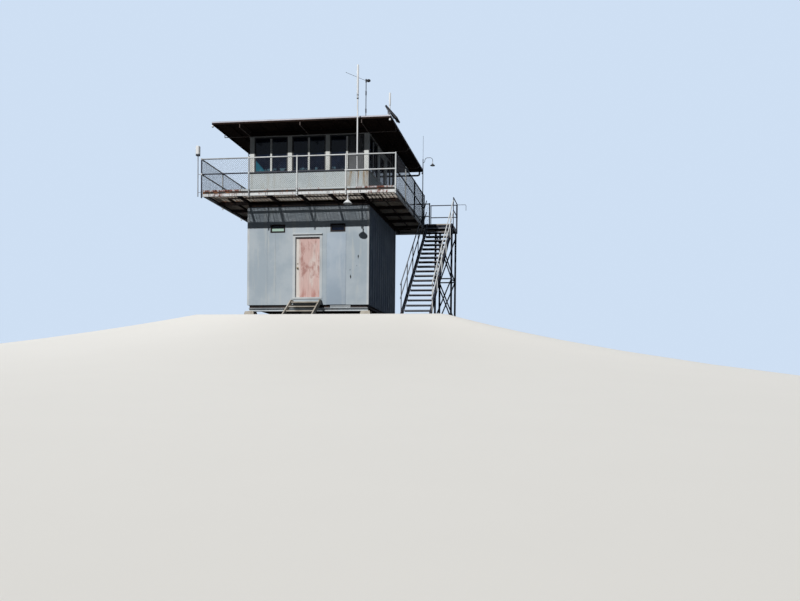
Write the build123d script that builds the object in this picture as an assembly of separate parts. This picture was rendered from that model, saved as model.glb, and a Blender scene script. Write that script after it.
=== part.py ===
from build123d import *
import os
from math import atan2, cos, degrees, radians, sin

# A square lookout tower: a steel-clad ground-floor room on piers, a catwalk with pipe
# railings, a glazed cab under a flat roof, and an outside stair with its landing.
# Millimetres. +Z is up, -Y is the front with the door, +X is the stair side.
# The origin is under the middle pier, on the level that every foot stands on.

# Levels, from the lowest foot up
foot_level = 0
riser_count = 20
riser = 201.75
grating_depth = 40
beam_depth = 100
ring_beam_depth = 115
wall_foot = 450
door_floor = 705
door_height = 2040
sill_height = 945
window_height = 1200
head_depth = 150
roof_frame_depth = 45
roof_deck_depth = 45

# Plan sizes
room_half = 2134
room_wall = 110
cab_half = 2085
cab_wall = 70
deck_half = 3243
roof_half = 3030

# Small clearances between neighbouring pieces
slit = 0.4
running = 5

# Piers and base
pier_inset = 94
pier_base = 420
pier_top = 300
pier_height = 240
sill_beam_width = 150
sill_beam_height = 110
sill_beam_inset = 34
sill_beam_flange = 12
sill_beam_web = 10
base_inset = 60
base_joist = 60
joist_bays = 8
floor_plate = 40
sleeper_width = 60
vent_width = 700
vent_x = 1150
vent_proud = 30
vent_slots = 4

# Ground-floor room
seam_width = 10
seam_depth = 5
front_seams = (-1420, -1130, 670, 1350)
rib_pitch = 340
rib_base = 70
rib_crest = 30
rib_height = 14
trim_leg = 70
trim_thick = 3
door_clear = 860
jamb_width = 90
jamb_proud = 10
stop_size = 26
stop_reach = 12
leaf_thick = 45
leaf_ease = 2
threshold_height = 55
threshold_proud = 26
cap_proud = 55
cap_thick = 12
small_window_x = 1055
small_window_width = 520
small_window_height = 270
small_window_drop = 600
small_frame = 36
small_frame_depth = 60
pane_thick = 6

# Door furniture
knob_height = 1000
knob_backset = 62
knob_radius = 27
rose_radius = 32
rose_depth = 7
rose_ease = 4
knob_reach = 58
knob_face = 0.6
knob_swell = 0.72
neck_radius = 11
hinge_levels = (220, 1020, 1820)
hinge_half = 50
hinge_plate = 46
hinge_plate_thick = 3
barrel_radius = 8
pin_radius = 4
pin_clearance = 0.3
hinge_gap = 1.2
hinge_web = 4

# Door steps
step_count = 3
step_going = 250
step_thick = 34
step_nosing = 20
step_half_width = 480
step_stringer = 40
step_stringer_depth = 200
step_rise_over = 40
step_board_drop = 105

# Catwalk
beam_width = 60
beam_web = 8
beam_flange = 8
ring_beam_flange = 12
channel_width = 50
channel_web = 6
joist_count = 5
joist_inset = 50
bar_pitch = 125
bar_width = 8
band_width = 12
toe_height = 70
toe_thick = 6
post_radius = 24
rail_radius = 21
rail_height = 1085
mid_rail_height = 590
post_foot_drop = 45
rail_bays = 4

# Cab
post_width = 145
corner_post = 155
post_line = 665
mullion_width = 64
sash_frame = 42
sash_depth = 45
sill_board = 30
sill_proud = 25
blind_width = 505
blind_thick = 10
cab_door_width = 900
cab_door_thick = 45
cab_door_head = 2060
cab_door_stile = 110
cab_door_lock_rail = 160
cab_door_kick = 300
ceiling_thick = 20

# Roof
rafter_bays = 12
rafter_width = 40
strut_size = 20
strut_rise = 25
strut_inset = 20
strut_side_inset = 15
ball_radius = 38
ball_stud = 8
ball_drop = 20
eave_pipe_radius = 34
eave_pipe_bend = 70
eave_pipe_half = 2900
eave_pipe_inset = 90

# Outside stair and landing
going = 247
stair_offset = 187
stair_width = 900
stringer_width = 50
stringer_web = 8
stringer_flange = 10
stringer_depth_up = 50
stringer_depth_down = 182
tread_overlap = 20
tread_lip = 38
tread_plate = 5
landing_depth = 1200
landing_inset = 18
hand_rail_height = 900
hand_mid_height = 460
stair_pipe = 19
stair_post = 17
stair_post_treads = (1, 5, 9, 13, 17)
leg_size = 70
leg_offset = 290
leg_plate = 150
leg_plate_thick = 10
brace_width = 50
brace_thick = 6
brace_low = 420
landing_rail_height = 1005
landing_mid_height = 525

# Roof and corner equipment
foot_plate = 120
foot_plate_thick = 10
mast_inset = 1253
mast_radius = 22
mast_length = 3945
mast_collars = ((1050, 25), (950, 25), (390, 40))
collar_extra = 9
weather_x = 1940
weather_y = -1950
weather_radius = 14
weather_length = 1510
weather_sleeves = ((500, 130), (1090, 130))
vane_hub_radius = 24
vane_hub_height = 110
vane_pin_radius = 8
vane_pin_length = 80
vane_gap = 1.2
vane_arm_length = 760
vane_arm_radius = 6
vane_arm_rise = 24
vane_body_length = 150
vane_body_radius = 52
solar_overhang = 5
solar_inset = 240
solar_length = 550
solar_width = 480
solar_thick = 35
solar_tilt = 48
solar_rise = 95
solar_post_radius = 20
solar_plate_shift = 180
solar_rim = 18
solar_recess = 3
stub_inset = (150, 550)
stub_rise = 510
stub_radius = 25
stub_length = 400
radome_offset = 128
radome_radius = 72
radome_length = 320
radome_rise = 120
radome_pole_radius = 17
lamp_inset = 1553
lamp_radius = 150
lamp_stem_radius = 12
lamp_drop = 330
shade_wall = 4
whip_inset = 253
whip_mast_radius = 17
whip_mast_length = 2865
whip_radius = 6
whip_length = 930
neck_reach = 390
neck_rise = 190
neck_pipe = 10
neck_drop = 140
rear_lamp_radius = 100
arm_reach = 330
arm_drop = 230
arm_radius = 9
arm_bend = 45

# Worked out from the sizes above
deck_top = riser_count * riser
beam_foot = deck_top - grating_depth - beam_depth
beam_top = deck_top - grating_depth
wall_top = beam_foot - ring_beam_depth
room_inner = room_half - room_wall
cab_inner = cab_half - cab_wall
sill_level = deck_top + sill_height
head_level = sill_level + window_height
roof_foot = head_level + head_depth
roof_seat = roof_foot + roof_frame_depth
roof_top = roof_seat + roof_deck_depth
base_foot = pier_height + sill_beam_height
door_head = door_floor + door_height
jamb_outer = door_clear / 2 + jamb_width
leaf_inner_face = -room_inner
leaf_outer_face = leaf_inner_face - leaf_thick
rail_line = deck_half + post_radius + slit
rail_top = deck_top + rail_height
rail_mid = deck_top + mid_rail_height
inside_toe = deck_half - toe_thick
landing_back = deck_half - landing_inset
landing_front = landing_back - landing_depth
stair_inner_x = deck_half + stair_offset
leg_inner_x = stair_inner_x + leg_offset
landing_right = stair_inner_x + stair_width + stringer_width
first_nosing = landing_front - going * (riser_count - 1)
stair_slope = riser / going
bay_half = post_line - post_width / 2
outer_bay = (post_line + post_width / 2, cab_half - corner_post)
pier_pitch = room_half - pier_inset
joist_lines = [(room_half - joist_inset) * (2 * n / (joist_count - 1) - 1) for n in range(joist_count)]
small_window_level = wall_top - small_window_drop - small_window_height
strut_level = head_level + strut_rise
strut_line = cab_half - strut_side_inset
brace_mid = (foot_level + beam_foot) / 2
mast_x = deck_half - mast_inset
mast_top = deck_top + mast_length
lamp_x = deck_half - lamp_inset
weather_top = roof_top + weather_length
solar_x = roof_half + solar_overhang
solar_y = solar_inset - roof_half
solar_level = roof_top + solar_rise
stub_x = roof_half - stub_inset[0]
stub_y = stub_inset[1] - roof_half
stub_level = roof_top + stub_rise
radome_x = -rail_line - radome_offset
radome_level = rail_top + radome_rise
whip_x = deck_half - whip_inset
whip_mast_top = deck_top + whip_mast_length
neck_level = whip_mast_top - neck_drop


def block(xs, ys, zs):
    """A block between low and high values on each axis."""
    size = [high - low for low, high in (xs, ys, zs)]
    middle = [(high + low) / 2 for low, high in (xs, ys, zs)]
    return Pos(*middle) * Box(*size)


def rod(start, end, radius):
    """A round bar between two points."""
    axis = Vector(*end) - Vector(*start)
    return Solid.make_cylinder(radius, axis.length, Plane(Vector(*start), z_dir=axis.normalized()))


def joined(pieces):
    """One solid from pieces that meet or cross."""
    first, *others = pieces
    return first.fuse(*others)


def turned(piece, quarter):
    """A front piece carried to the right, back or left side."""
    return Rot(0, 0, 90 * quarter) * piece


def all_sides(piece):
    """A front piece and its copies on the other three sides."""
    return [turned(piece, quarter) for quarter in range(4)]


def along_x(section, half_length):
    """A section drawn in Y and Z, run both ways along X."""
    return extrude(Plane.YZ * section, amount=half_length, both=True)


def along_y(section, half_length):
    """A section drawn in X and Z, run both ways along Y."""
    return extrude(Plane.XZ * section, amount=half_length, both=True)


def i_section(width, height, flange, web):
    """An I-shaped section about its own middle."""
    hollow = Rectangle((width - web) / 2, height - 2 * flange)
    offset = (width + web) / 4
    return Rectangle(width, height) - Pos(offset, 0) * hollow - Pos(-offset, 0) * hollow


def channel_section(width, height, flange, web):
    """A channel about the middle of its outline, its back towards minus."""
    return Rectangle(width, height) - Pos(web / 2, 0) * Rectangle(width - web, height - 2 * flange)


def joist_grid(half, bays, width, low, high):
    """Two long rim boards, front and back, with the joists between them."""
    step = (2 * half - width) / bays
    inner = half - width
    boards = [block((-half, half), sorted((side * half, side * inner)), (low, high)) for side in (-1, 1)]
    for line in range(bays + 1):
        x = (line - bays / 2) * step
        boards.append(block((x - width / 2, x + width / 2), (-inner, inner), (low, high)))
    return boards


def foundation_piers():
    """Tapered concrete blocks, three by three, the middle one at the origin."""
    taper = degrees(atan2((pier_base - pier_top) / 2, pier_height))
    pier = extrude(Rectangle(pier_base, pier_base), amount=pier_height, taper=taper)
    places = (-pier_pitch, 0, pier_pitch)
    return [Pos(x, y, foot_level) * pier for x in places for y in places]


def sill_beams():
    """Three beams on the piers, along the front, middle and back."""
    section = i_section(sill_beam_width, sill_beam_height, sill_beam_flange, sill_beam_web)
    beam = along_x(section, room_half - sill_beam_inset)
    level = pier_height + sill_beam_height / 2
    return [Pos(0, y, level) * beam for y in (-pier_pitch, 0, pier_pitch)]


def base_frame():
    """The joisted frame that the room stands on, set back under its walls."""
    return joist_grid(room_half - base_inset, joist_bays, base_joist, base_foot, wall_foot)


def room_floor():
    """The floor plate on its sleepers."""
    half = room_inner - slit
    plate = block((-half, half), (-half, half), (door_floor - floor_plate, door_floor))
    frame_half = room_half - base_inset
    step = (2 * frame_half - base_joist) / joist_bays
    sleepers = []
    for line in range(1, joist_bays):
        x = (line - joist_bays / 2) * step
        xs = (x - sleeper_width / 2, x + sleeper_width / 2)
        sleepers.append(block(xs, (-half, half), (wall_foot, door_floor - floor_plate)))
    return [plate, *sleepers]


def base_vent():
    """A louvred grille in the gap under the front wall."""
    face = base_inset - room_half
    top = wall_foot - slit
    half = vent_width / 2
    frame = block((vent_x - half, vent_x + half), (face - vent_proud, face), (base_foot, top))
    gap = (top - base_foot) / (2 * vent_slots + 1)
    xs = (vent_x - half + gap, vent_x + half - gap)
    for slot in range(vent_slots):
        low = base_foot + gap * (2 * slot + 1)
        frame -= block(xs, (face - vent_proud, face - vent_proud / 3), (low, low + gap))
    return [frame]


def front_panel(xs):
    """A front wall panel with its upright seams, from foot to head."""
    panel = block(xs, (-room_half, -room_inner), (wall_foot, wall_top))
    for x in front_seams:
        if xs[0] < x < xs[1]:
            seam = (x - seam_width / 2, x + seam_width / 2)
            panel -= block(seam, (-room_half, -room_half + seam_depth), (wall_foot, wall_top))
    return panel


def window_hole(side):
    """The hole for one small high window."""
    x = side * small_window_x
    xs = (x - small_window_width / 2, x + small_window_width / 2)
    zs = (small_window_level, small_window_level + small_window_height)
    return block(xs, (-room_half, -room_inner), zs)


def front_wall_left():
    return [front_panel((-room_half, -jamb_outer)) - window_hole(-1)]


def front_wall_right():
    return [front_panel((jamb_outer, room_half)) - window_hole(1)]


def front_wall_at_door():
    """The wall over the doorway and the strip under its threshold."""
    xs = (-jamb_outer, jamb_outer)
    ys = (-room_half, -room_inner)
    over = block(xs, ys, (door_head + jamb_width, wall_top))
    under = block(xs, ys, (wall_foot, door_floor - threshold_height))
    return [over, under]


def ribbed_wall(half_length):
    """A wall of ribbed sheet, drawn as the front one and then turned."""
    skin = -(room_half - rib_height)
    plan = Pos(0, (skin - room_inner) / 2) * Rectangle(2 * half_length, room_wall - rib_height)
    count = int((2 * half_length - rib_base) / rib_pitch) + 1
    for rib in range(count):
        x = (rib - (count - 1) / 2) * rib_pitch
        corners = [
            (x - rib_base / 2, skin),
            (x - rib_crest / 2, -room_half),
            (x + rib_crest / 2, -room_half),
            (x + rib_base / 2, skin),
        ]
        plan += Polygon(*corners, align=None)
    return Pos(0, 0, wall_foot) * extrude(plan, amount=wall_top - wall_foot)


def room_wall_right():
    return [turned(ribbed_wall(room_inner - slit), 1)]


def room_wall_back():
    return [turned(ribbed_wall(room_half), 2)]


def room_wall_left():
    return [turned(ribbed_wall(room_inner - slit), 3)]


def corner_trims():
    """Folded steel angles over the four corners of the room."""
    outer = room_half + trim_thick
    leg = Rectangle(trim_leg, trim_leg, align=(Align.MIN, Align.MIN))
    angle = Pos(-outer, -outer) * (leg - Pos(trim_thick, trim_thick) * leg)
    return all_sides(Pos(0, 0, wall_foot) * extrude(angle, amount=wall_top - wall_foot))


def door_frame():
    """Jambs, head, threshold and the stops that the door closes on."""
    half = door_clear / 2
    ys = (-room_half - jamb_proud, leaf_inner_face)
    head_zs = (door_head, door_head + jamb_width)
    pieces = [block((-jamb_outer, jamb_outer), ys, head_zs)]
    stop_ys = (leaf_outer_face - running - stop_size, leaf_outer_face - running)
    for side in (-1, 1):
        xs = sorted((side * half, side * jamb_outer))
        pieces.append(block(xs, ys, (door_floor, door_head - slit)))
        stop_xs = sorted((side * (half - slit), side * (half - stop_reach)))
        pieces.append(block(stop_xs, stop_ys, (door_floor + slit, door_head - stop_reach - slit)))
    stop_zs = (door_head - stop_reach, door_head - slit)
    pieces.append(block((-half + slit, half - slit), stop_ys, stop_zs))
    ys = (-room_half - threshold_proud, -room_inner)
    pieces.append(block((-jamb_outer, jamb_outer), ys, (door_floor - threshold_height, door_floor - slit)))
    return pieces


def door_drip_cap():
    """The folded cap over the door."""
    low = door_head + jamb_width + slit
    front = -room_half - cap_proud
    profile = Polygon(
        (-room_half, low),
        (-room_half, low + 3 * cap_thick),
        (front, low + 2 * cap_thick),
        (front, low - cap_thick),
        (front + cap_thick / 2, low - cap_thick),
        (front + cap_thick / 2, low + cap_thick),
        align=None,
    )
    return [along_x(profile, jamb_outer)]


def lower_door():
    """The flush steel leaf, with its edges eased."""
    half = door_clear / 2 - running
    zs = (door_floor + running, door_head - running)
    leaf = block((-half, half), (leaf_outer_face, leaf_inner_face), zs)
    edges = leaf.edges().filter_by(Axis.Z)
    return [fillet(edges, leaf_ease)]


def door_knobs():
    """A turned knob and rose on each face, by the free edge."""
    x = -(door_clear / 2 - running - knob_backset)
    z = door_floor + knob_height
    rose = ((0, 0), (rose_radius, 0), (rose_radius - rose_ease, rose_depth), (neck_radius, rose_depth))
    outline = Polyline(*rose)
    neck = Line((neck_radius, rose_depth), (neck_radius, knob_reach / 2))
    face_radius = knob_radius * knob_face
    swell = (knob_radius, knob_reach * knob_swell)
    grip = ThreePointArc((neck_radius, knob_reach / 2), swell, (face_radius, knob_reach))
    cap = Polyline((face_radius, knob_reach), (0, knob_reach), (0, 0))
    knob = revolve(make_face([*outline.edges(), neck, grip, *cap.edges()]), Axis.Y)
    inner = Pos(x, leaf_inner_face, z) * knob
    outer = Pos(x, leaf_outer_face, z) * Rot(0, 0, 180) * knob
    return [inner, outer]


def hinge_axis():
    """Where the door turns: the pin line inside the right jamb."""
    return door_clear / 2, leaf_inner_face + barrel_radius + hinge_gap


def hinge_half_shape(side, low, high):
    """A barrel with its plate, on the jamb side or the leaf side."""
    x, y = hinge_axis()
    barrel = Cylinder(barrel_radius, high - low)
    plate_y = leaf_inner_face + hinge_plate_thick / 2 - y
    plate_box = Box(hinge_plate - 2 * hinge_gap, hinge_plate_thick, high - low)
    plate = Pos(side * (hinge_plate / 2 + hinge_gap), plate_y) * plate_box
    web_height = barrel_radius + hinge_gap - hinge_plate_thick / 2
    web_box = Box(hinge_web, web_height, high - low)
    web = Pos(side * (hinge_gap + hinge_web / 2), -web_height / 2) * web_box
    return Pos(x, y, (low + high) / 2) * joined([barrel, plate, web])


def door_hinge_pins():
    """The jamb halves of the hinges, each with its pin."""
    x, y = hinge_axis()
    pieces = []
    for level in hinge_levels:
        middle = door_floor + level
        half = hinge_half_shape(1, middle - hinge_half, middle - hinge_gap / 2)
        pin = rod((x, y, middle - hinge_half), (x, y, middle + hinge_half - hinge_gap), pin_radius)
        pieces.append(joined([half, pin]))
    return pieces


def door_hinge_leaves():
    """The leaf halves of the hinges, bored for the pins."""
    x, y = hinge_axis()
    pieces = []
    for level in hinge_levels:
        middle = door_floor + level
        half = hinge_half_shape(-1, middle + hinge_gap / 2, middle + hinge_half)
        bore = rod((x, y, middle - hinge_half), (x, y, middle + 2 * hinge_half), pin_radius + pin_clearance)
        pieces.append(half - bore)
    return pieces


def door_steps():
    """Two raking side boards and the treads between them."""
    rise = door_floor / (step_count + 1)
    slope = rise / step_going
    nosing = -room_half - threshold_proud - step_going
    top_tread = rise * step_count
    board_top = door_floor - step_board_drop
    over = top_tread + step_rise_over - nosing * slope
    under = over - step_stringer_depth
    outline = [
        ((foot_level - over) / slope, foot_level),
        ((foot_level - under) / slope, foot_level),
        (-room_half, under - room_half * slope),
        (-room_half, board_top),
        ((board_top - over) / slope, board_top),
    ]
    board = along_x(Polygon(*outline, align=None), step_stringer / 2)
    offset = step_half_width + step_stringer / 2
    stringers = [Pos(side * offset, 0, 0) * board for side in (-1, 1)]
    treads = []
    for step in range(step_count):
        front = nosing - step * step_going
        ys = (front, front + step_going + step_nosing)
        top = top_tread - step * rise
        xs = (slit - step_half_width, step_half_width - slit)
        treads.append(block(xs, ys, (top - step_thick, top)))
    return stringers + treads


def small_window_frames():
    """Frames of the two high windows in the front wall."""
    outer = Rectangle(small_window_width, small_window_height)
    pane = Rectangle(small_window_width - 2 * small_frame, small_window_height - 2 * small_frame)
    frame = along_y_from(outer - pane, -room_half - jamb_proud, small_frame_depth)
    level = small_window_level + small_window_height / 2
    return [Pos(side * small_window_x, 0, level) * frame for side in (-1, 1)]


def along_y_from(section, start, depth):
    """A section drawn in X and Z, run inwards from one face."""
    return Pos(0, start + depth / 2, 0) * along_y(section, depth / 2)


def small_window_panes():
    """Glass of the two high windows."""
    pane = Rectangle(small_window_width - 2 * small_frame, small_window_height - 2 * small_frame)
    glass = along_y_from(pane, -room_half + small_frame_depth / 3, pane_thick)
    level = small_window_level + small_window_height / 2
    return [Pos(side * small_window_x, 0, level) * glass for side in (-1, 1)]


def ring_beams():
    """Beams on the wall heads, carrying the catwalk joists."""
    width = room_wall - 2 * running
    section = i_section(width, ring_beam_depth, ring_beam_flange, beam_web)
    line = room_half - room_wall / 2
    level = wall_top + ring_beam_depth / 2
    long_beam = Pos(0, -line, level) * along_x(section, line + width / 2)
    short_beam = Pos(0, -line, level) * along_x(section, line - width / 2 - slit)
    return [long_beam, turned(short_beam, 1), turned(long_beam, 2), turned(short_beam, 3)]


def deck_joists():
    """Joists from the front edge to the back edge."""
    section = i_section(beam_width, beam_depth, beam_flange, beam_web)
    joist = along_y(section, deck_half - channel_width)
    return [Pos(x, 0, beam_foot + beam_depth / 2) * joist for x in joist_lines]


def side_outriggers():
    """Short beams that reach out to the left and right edges."""
    section = i_section(beam_width, beam_depth, beam_flange, beam_web)
    inner = max(joist_lines) + beam_width / 2 + slit
    outer = deck_half - channel_width
    beam = along_x(section, (outer - inner) / 2)
    level = beam_foot + beam_depth / 2
    middle = (inner + outer) / 2
    return [Pos(side * middle, y, level) * beam for side in (-1, 1) for y in joist_lines]


def edge_channels():
    """The white channels round the edge of the catwalk."""
    section = channel_section(channel_width, beam_depth, beam_flange, channel_web)
    line = deck_half - channel_width / 2
    level = beam_foot + beam_depth / 2
    long_one = Pos(0, -line, level) * along_x(section, deck_half)
    short_one = Pos(0, -line, level) * along_x(section, deck_half - channel_width - slit)
    return [long_one, turned(short_one, 1), turned(long_one, 2), turned(short_one, 3)]


def grating(xs, ys, bars_across):
    """A grating panel: a band all round, with bearing bars across one way."""
    width = xs[1] - xs[0]
    depth = ys[1] - ys[0]
    run = width if bars_across == "x" else depth
    reach = depth if bars_across == "x" else width
    count = round((run - band_width) / bar_pitch)
    step = (run - 2 * band_width + bar_width) / count
    plan = Rectangle(run, reach)
    slot = Rectangle(step - bar_width, reach - 2 * band_width)
    for bar in range(count):
        plan -= Pos((bar + 0.5 - count / 2) * step, 0) * slot
    if bars_across == "y":
        plan = Rot(0, 0, 90) * plan
    middle = ((xs[0] + xs[1]) / 2, (ys[0] + ys[1]) / 2, beam_top)
    return Pos(*middle) * extrude(plan, amount=grating_depth)


def catwalk_grating():
    """Four panels round the cab."""
    outer = deck_half
    inner = cab_half + slit
    front = grating((-outer, outer), (-outer, -inner), "x")
    back = grating((-outer, outer), (inner, outer), "x")
    left = grating((-outer, -inner), (-cab_half, cab_half), "y")
    right = grating((inner, outer), (-cab_half, cab_half), "y")
    return [front, right, back, left]


def toe_plates():
    """Upright flat bars along the edge, broken where the landing joins."""
    zs = (deck_top, deck_top + toe_height)
    front = block((-deck_half, deck_half), (-deck_half, -inside_toe), zs)
    inner = inside_toe - slit
    left = block((-deck_half, -inside_toe), (-inner, inner), zs)
    right = block((inside_toe, deck_half), (-inner, landing_front), zs)
    return [front, turned(front, 2), left, right]


def let_in(posts, rails, radii):
    """Rails between their end points, with the posts cut to take them.

    A post wider than its rail is bored for it, and a thinner one stands in lengths between.
    """
    post, rail = radii
    pieces = [rod(start, end, rail) for start, end in rails]
    seats = []
    for start, end in rails:
        reach = (Vector(*end) - Vector(*start)).normalized() * slit
        seats.append(rod(tuple(Vector(*start) - reach), tuple(Vector(*end) + reach), rail + slit))
    for foot, head in posts:
        pieces += rod(foot, head, post).cut(*seats).solids()
    return pieces


def pipe_panel(line, posts, ends, heights, foot, radii):
    """Pipe posts along X at one distance in front, with two rails let into them."""
    post, rail = radii
    top = max(heights)
    crown = top + post if post > rail else top
    uprights = [((x, -line, foot), (x, -line, crown)) for x in posts]
    rails = [((ends[0], -line, level), (ends[1], -line, level)) for level in heights]
    return let_in(uprights, rails, radii)


def rail_posts():
    """Even post places along one side, corner posts included."""
    return [(post / rail_bays * 2 - 1) * rail_line for post in range(rail_bays + 1)]


def catwalk_railing(posts, ends):
    heights = (rail_top, rail_mid)
    foot = beam_foot - post_foot_drop
    return pipe_panel(rail_line, posts, ends, heights, foot, (post_radius, rail_radius))


def railing_front():
    posts = rail_posts()
    return catwalk_railing(posts, (posts[0], posts[-1]))


def railing_back():
    return [turned(piece, 2) for piece in railing_front()]


def railing_left():
    end = rail_line - post_radius - slit
    return [turned(piece, 3) for piece in catwalk_railing(rail_posts()[1:-1], (-end, end))]


def railing_right():
    """The stair side: it stops at a post beside the landing."""
    end = rail_line - post_radius - slit
    last = landing_front - post_radius
    posts = [x for x in rail_posts()[1:-1] if x < last - 4 * post_radius] + [last]
    return [turned(piece, 1) for piece in catwalk_railing(posts, (-end, last))]


def cab_floor():
    return [block((-cab_half, cab_half), (-cab_half, cab_half), (beam_top, deck_top))]


def sill_wall(xs):
    """A low cab wall, drawn at the front."""
    return block(xs, (-cab_half, -cab_inner), (deck_top, sill_level))


def cab_sill_walls():
    """Low walls under the windows, parted for the cab door on the stair side."""
    end = cab_inner - slit
    whole = sill_wall((-cab_half, cab_half))
    left = turned(sill_wall((-end, end)), 3)
    near = turned(sill_wall((-end, -bay_half)), 1)
    far = turned(sill_wall((bay_half, end)), 1)
    return [whole, near, far, turned(whole, 2), left]


def cab_posts():
    """Corner posts and two posts a side, from the sill to the head."""
    zs = (sill_level, head_level)
    edge = cab_half - corner_post
    corner = block((-cab_half, -edge), (-cab_half, -edge), zs)
    pieces = all_sides(corner)
    for x in (-post_line, post_line):
        xs = (x - post_width / 2, x + post_width / 2)
        pieces += all_sides(block(xs, (-cab_half, -cab_inner), zs))
    return pieces


def window_bay(xs):
    """A frame with two lights, drawn at the front, and its two panes."""
    width = xs[1] - xs[0] - 2 * slit
    height = window_height - 2 * slit
    light = (width - 2 * sash_frame - mullion_width) / 2
    pane = Rectangle(light, height - 2 * sash_frame)
    offset = (light + mullion_width) / 2
    panes = Pos(-offset, 0) * pane + Pos(offset, 0) * pane
    start = -cab_half + (cab_wall - sash_depth) / 2
    glass_start = start + sash_depth / 2
    middle = Pos((xs[0] + xs[1]) / 2, 0, (sill_level + head_level) / 2)
    frame = middle * along_y_from(Rectangle(width, height) - panes, start, sash_depth)
    glass = []
    for side in (-1, 1):
        light_pane = Pos(side * offset, 0) * pane
        glass.append(middle * along_y_from(light_pane, glass_start, pane_thick))
    return frame, glass


def window_side(quarter, bays):
    """Frames and panes of one side."""
    frames = []
    panes = []
    for xs in bays:
        frame, glass = window_bay(xs)
        frames.append(turned(frame, quarter))
        panes += [turned(pane, quarter) for pane in glass]
    return frames, panes


def sash_blind():
    """A grey board behind the last light on the front."""
    right = outer_bay[1] - sash_frame
    start = -(cab_half + cab_inner - sash_depth) / 2 + slit
    xs = (right - blind_width, right)
    return [block(xs, (start, start + blind_thick), (sill_level + sash_frame, head_level))]


def cab_door():
    """The cab door on the stair side, with an upper and a lower light."""
    half = cab_door_width / 2 - slit
    top = deck_top + cab_door_head
    start = -cab_half + (cab_wall - cab_door_thick) / 2
    zs = (deck_top + running, top - slit)
    leaf = block((-half, half), (start, start + cab_door_thick), zs)
    lights = door_lights()
    for light in lights:
        leaf -= block(light[0], (start, start + cab_door_thick), light[1])
    glass_ys = (start + cab_door_thick / 2, start + cab_door_thick / 2 + pane_thick)
    glass = [block(xs, glass_ys, light_zs) for xs, light_zs in lights]
    return [turned(leaf, 1)], [turned(pane, 1) for pane in glass]


def door_lights():
    """Widths and heights of the two glazed openings in the cab door."""
    edge = cab_door_width / 2 - cab_door_stile
    middle = deck_top + sill_height
    lower = (deck_top + cab_door_kick, middle - cab_door_lock_rail / 2)
    upper = (middle + cab_door_lock_rail / 2, deck_top + cab_door_head - cab_door_stile)
    return [((-edge, edge), lower), ((-edge, edge), upper)]


def cab_door_frame():
    """Jamb boards and a transom that fill the door's bay."""
    half = cab_door_width / 2
    top = deck_top + cab_door_head
    ys = (-cab_half, -cab_inner)
    left = block((-bay_half + slit, -half), ys, (deck_top, top))
    right = block((half, bay_half - slit), ys, (deck_top, top))
    transom = block((-bay_half + slit, bay_half - slit), ys, (top + slit, head_level))
    return [turned(piece, 1) for piece in (left, right, transom)]


def window_sills():
    """Sill boards that stand proud under each window band."""
    zs = (sill_level - sill_board, sill_level)
    ys = (-cab_half - sill_proud, -cab_half)
    whole = block((-cab_half, cab_half), ys, zs)
    near = block((-cab_half, -bay_half), ys, zs)
    far = block((bay_half, cab_half), ys, zs)
    return [whole, turned(near, 1), turned(far, 1), turned(whole, 2), turned(whole, 3)]


def head_beams():
    """Beams over the windows, under the roof."""
    zs = (head_level, roof_foot)
    long_one = block((-cab_half, cab_half), (-cab_half, -cab_inner), zs)
    short_one = block((-cab_inner + slit, cab_inner - slit), (-cab_half, -cab_inner), zs)
    return [long_one, turned(short_one, 1), turned(long_one, 2), turned(short_one, 3)]


def cab_ceiling():
    half = cab_inner - slit
    return [block((-half, half), (-half, half), (roof_foot - ceiling_thick, roof_foot))]


def roof_frame():
    """The rim and rafters that show from below."""
    return joist_grid(roof_half - slit, rafter_bays, rafter_width, roof_foot, roof_seat)


def roof_deck():
    """The flat deck with a drip edge turned down over the frame's top."""
    return [block((-roof_half, roof_half), (-roof_half, roof_half), (roof_seat, roof_top))]


def roof_struts():
    """A short hanger under the eave and a bar straight back to the wall head."""
    outer = -(roof_half - strut_inset)
    inner = outer + strut_size
    pieces = []
    for x in (-strut_line, 0, strut_line):
        xs = (x - strut_size / 2, x + strut_size / 2)
        pieces += all_sides(block(xs, (inner, -cab_half), (strut_level, strut_level + strut_size)))
        pieces += all_sides(block(xs, (outer, inner), (strut_level, roof_foot)))
    return pieces


def roof_balls():
    """Round white fittings under the corners of the roof."""
    place = roof_half - rafter_width / 2
    centre = roof_foot - ball_drop - ball_radius
    stud = rod((-place, -place, centre), (-place, -place, roof_foot), ball_stud)
    ball = Pos(-place, -place, centre) * Sphere(ball_radius)
    return all_sides(joined([ball, stud]))


def rear_eave_pipe():
    """A dark pipe slung under the back eave, turned up at both ends."""
    y = roof_half - eave_pipe_inset
    low = strut_level - eave_pipe_radius - slit
    route = FilletPolyline(
        (-eave_pipe_half, y, roof_seat),
        (-eave_pipe_half, y, low),
        (eave_pipe_half, y, low),
        (eave_pipe_half, y, roof_seat),
        radius=eave_pipe_bend,
    )
    start = Plane((-eave_pipe_half, y, roof_seat), z_dir=(0, 0, -1))
    whole = sweep(start * Circle(eave_pipe_radius), path=route)
    end = eave_pipe_half - eave_pipe_bend
    reach = 2 * eave_pipe_radius
    straight = block((-end, end), (y - reach, y + reach), (low - reach, low + reach))
    return [rod((-end, y, low), (end, y, low), eave_pipe_radius), *whole.cut(straight).solids()]


def nosing_level(y):
    """Height of the line through the tread nosings."""
    return riser + (y - first_nosing) * stair_slope


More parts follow.
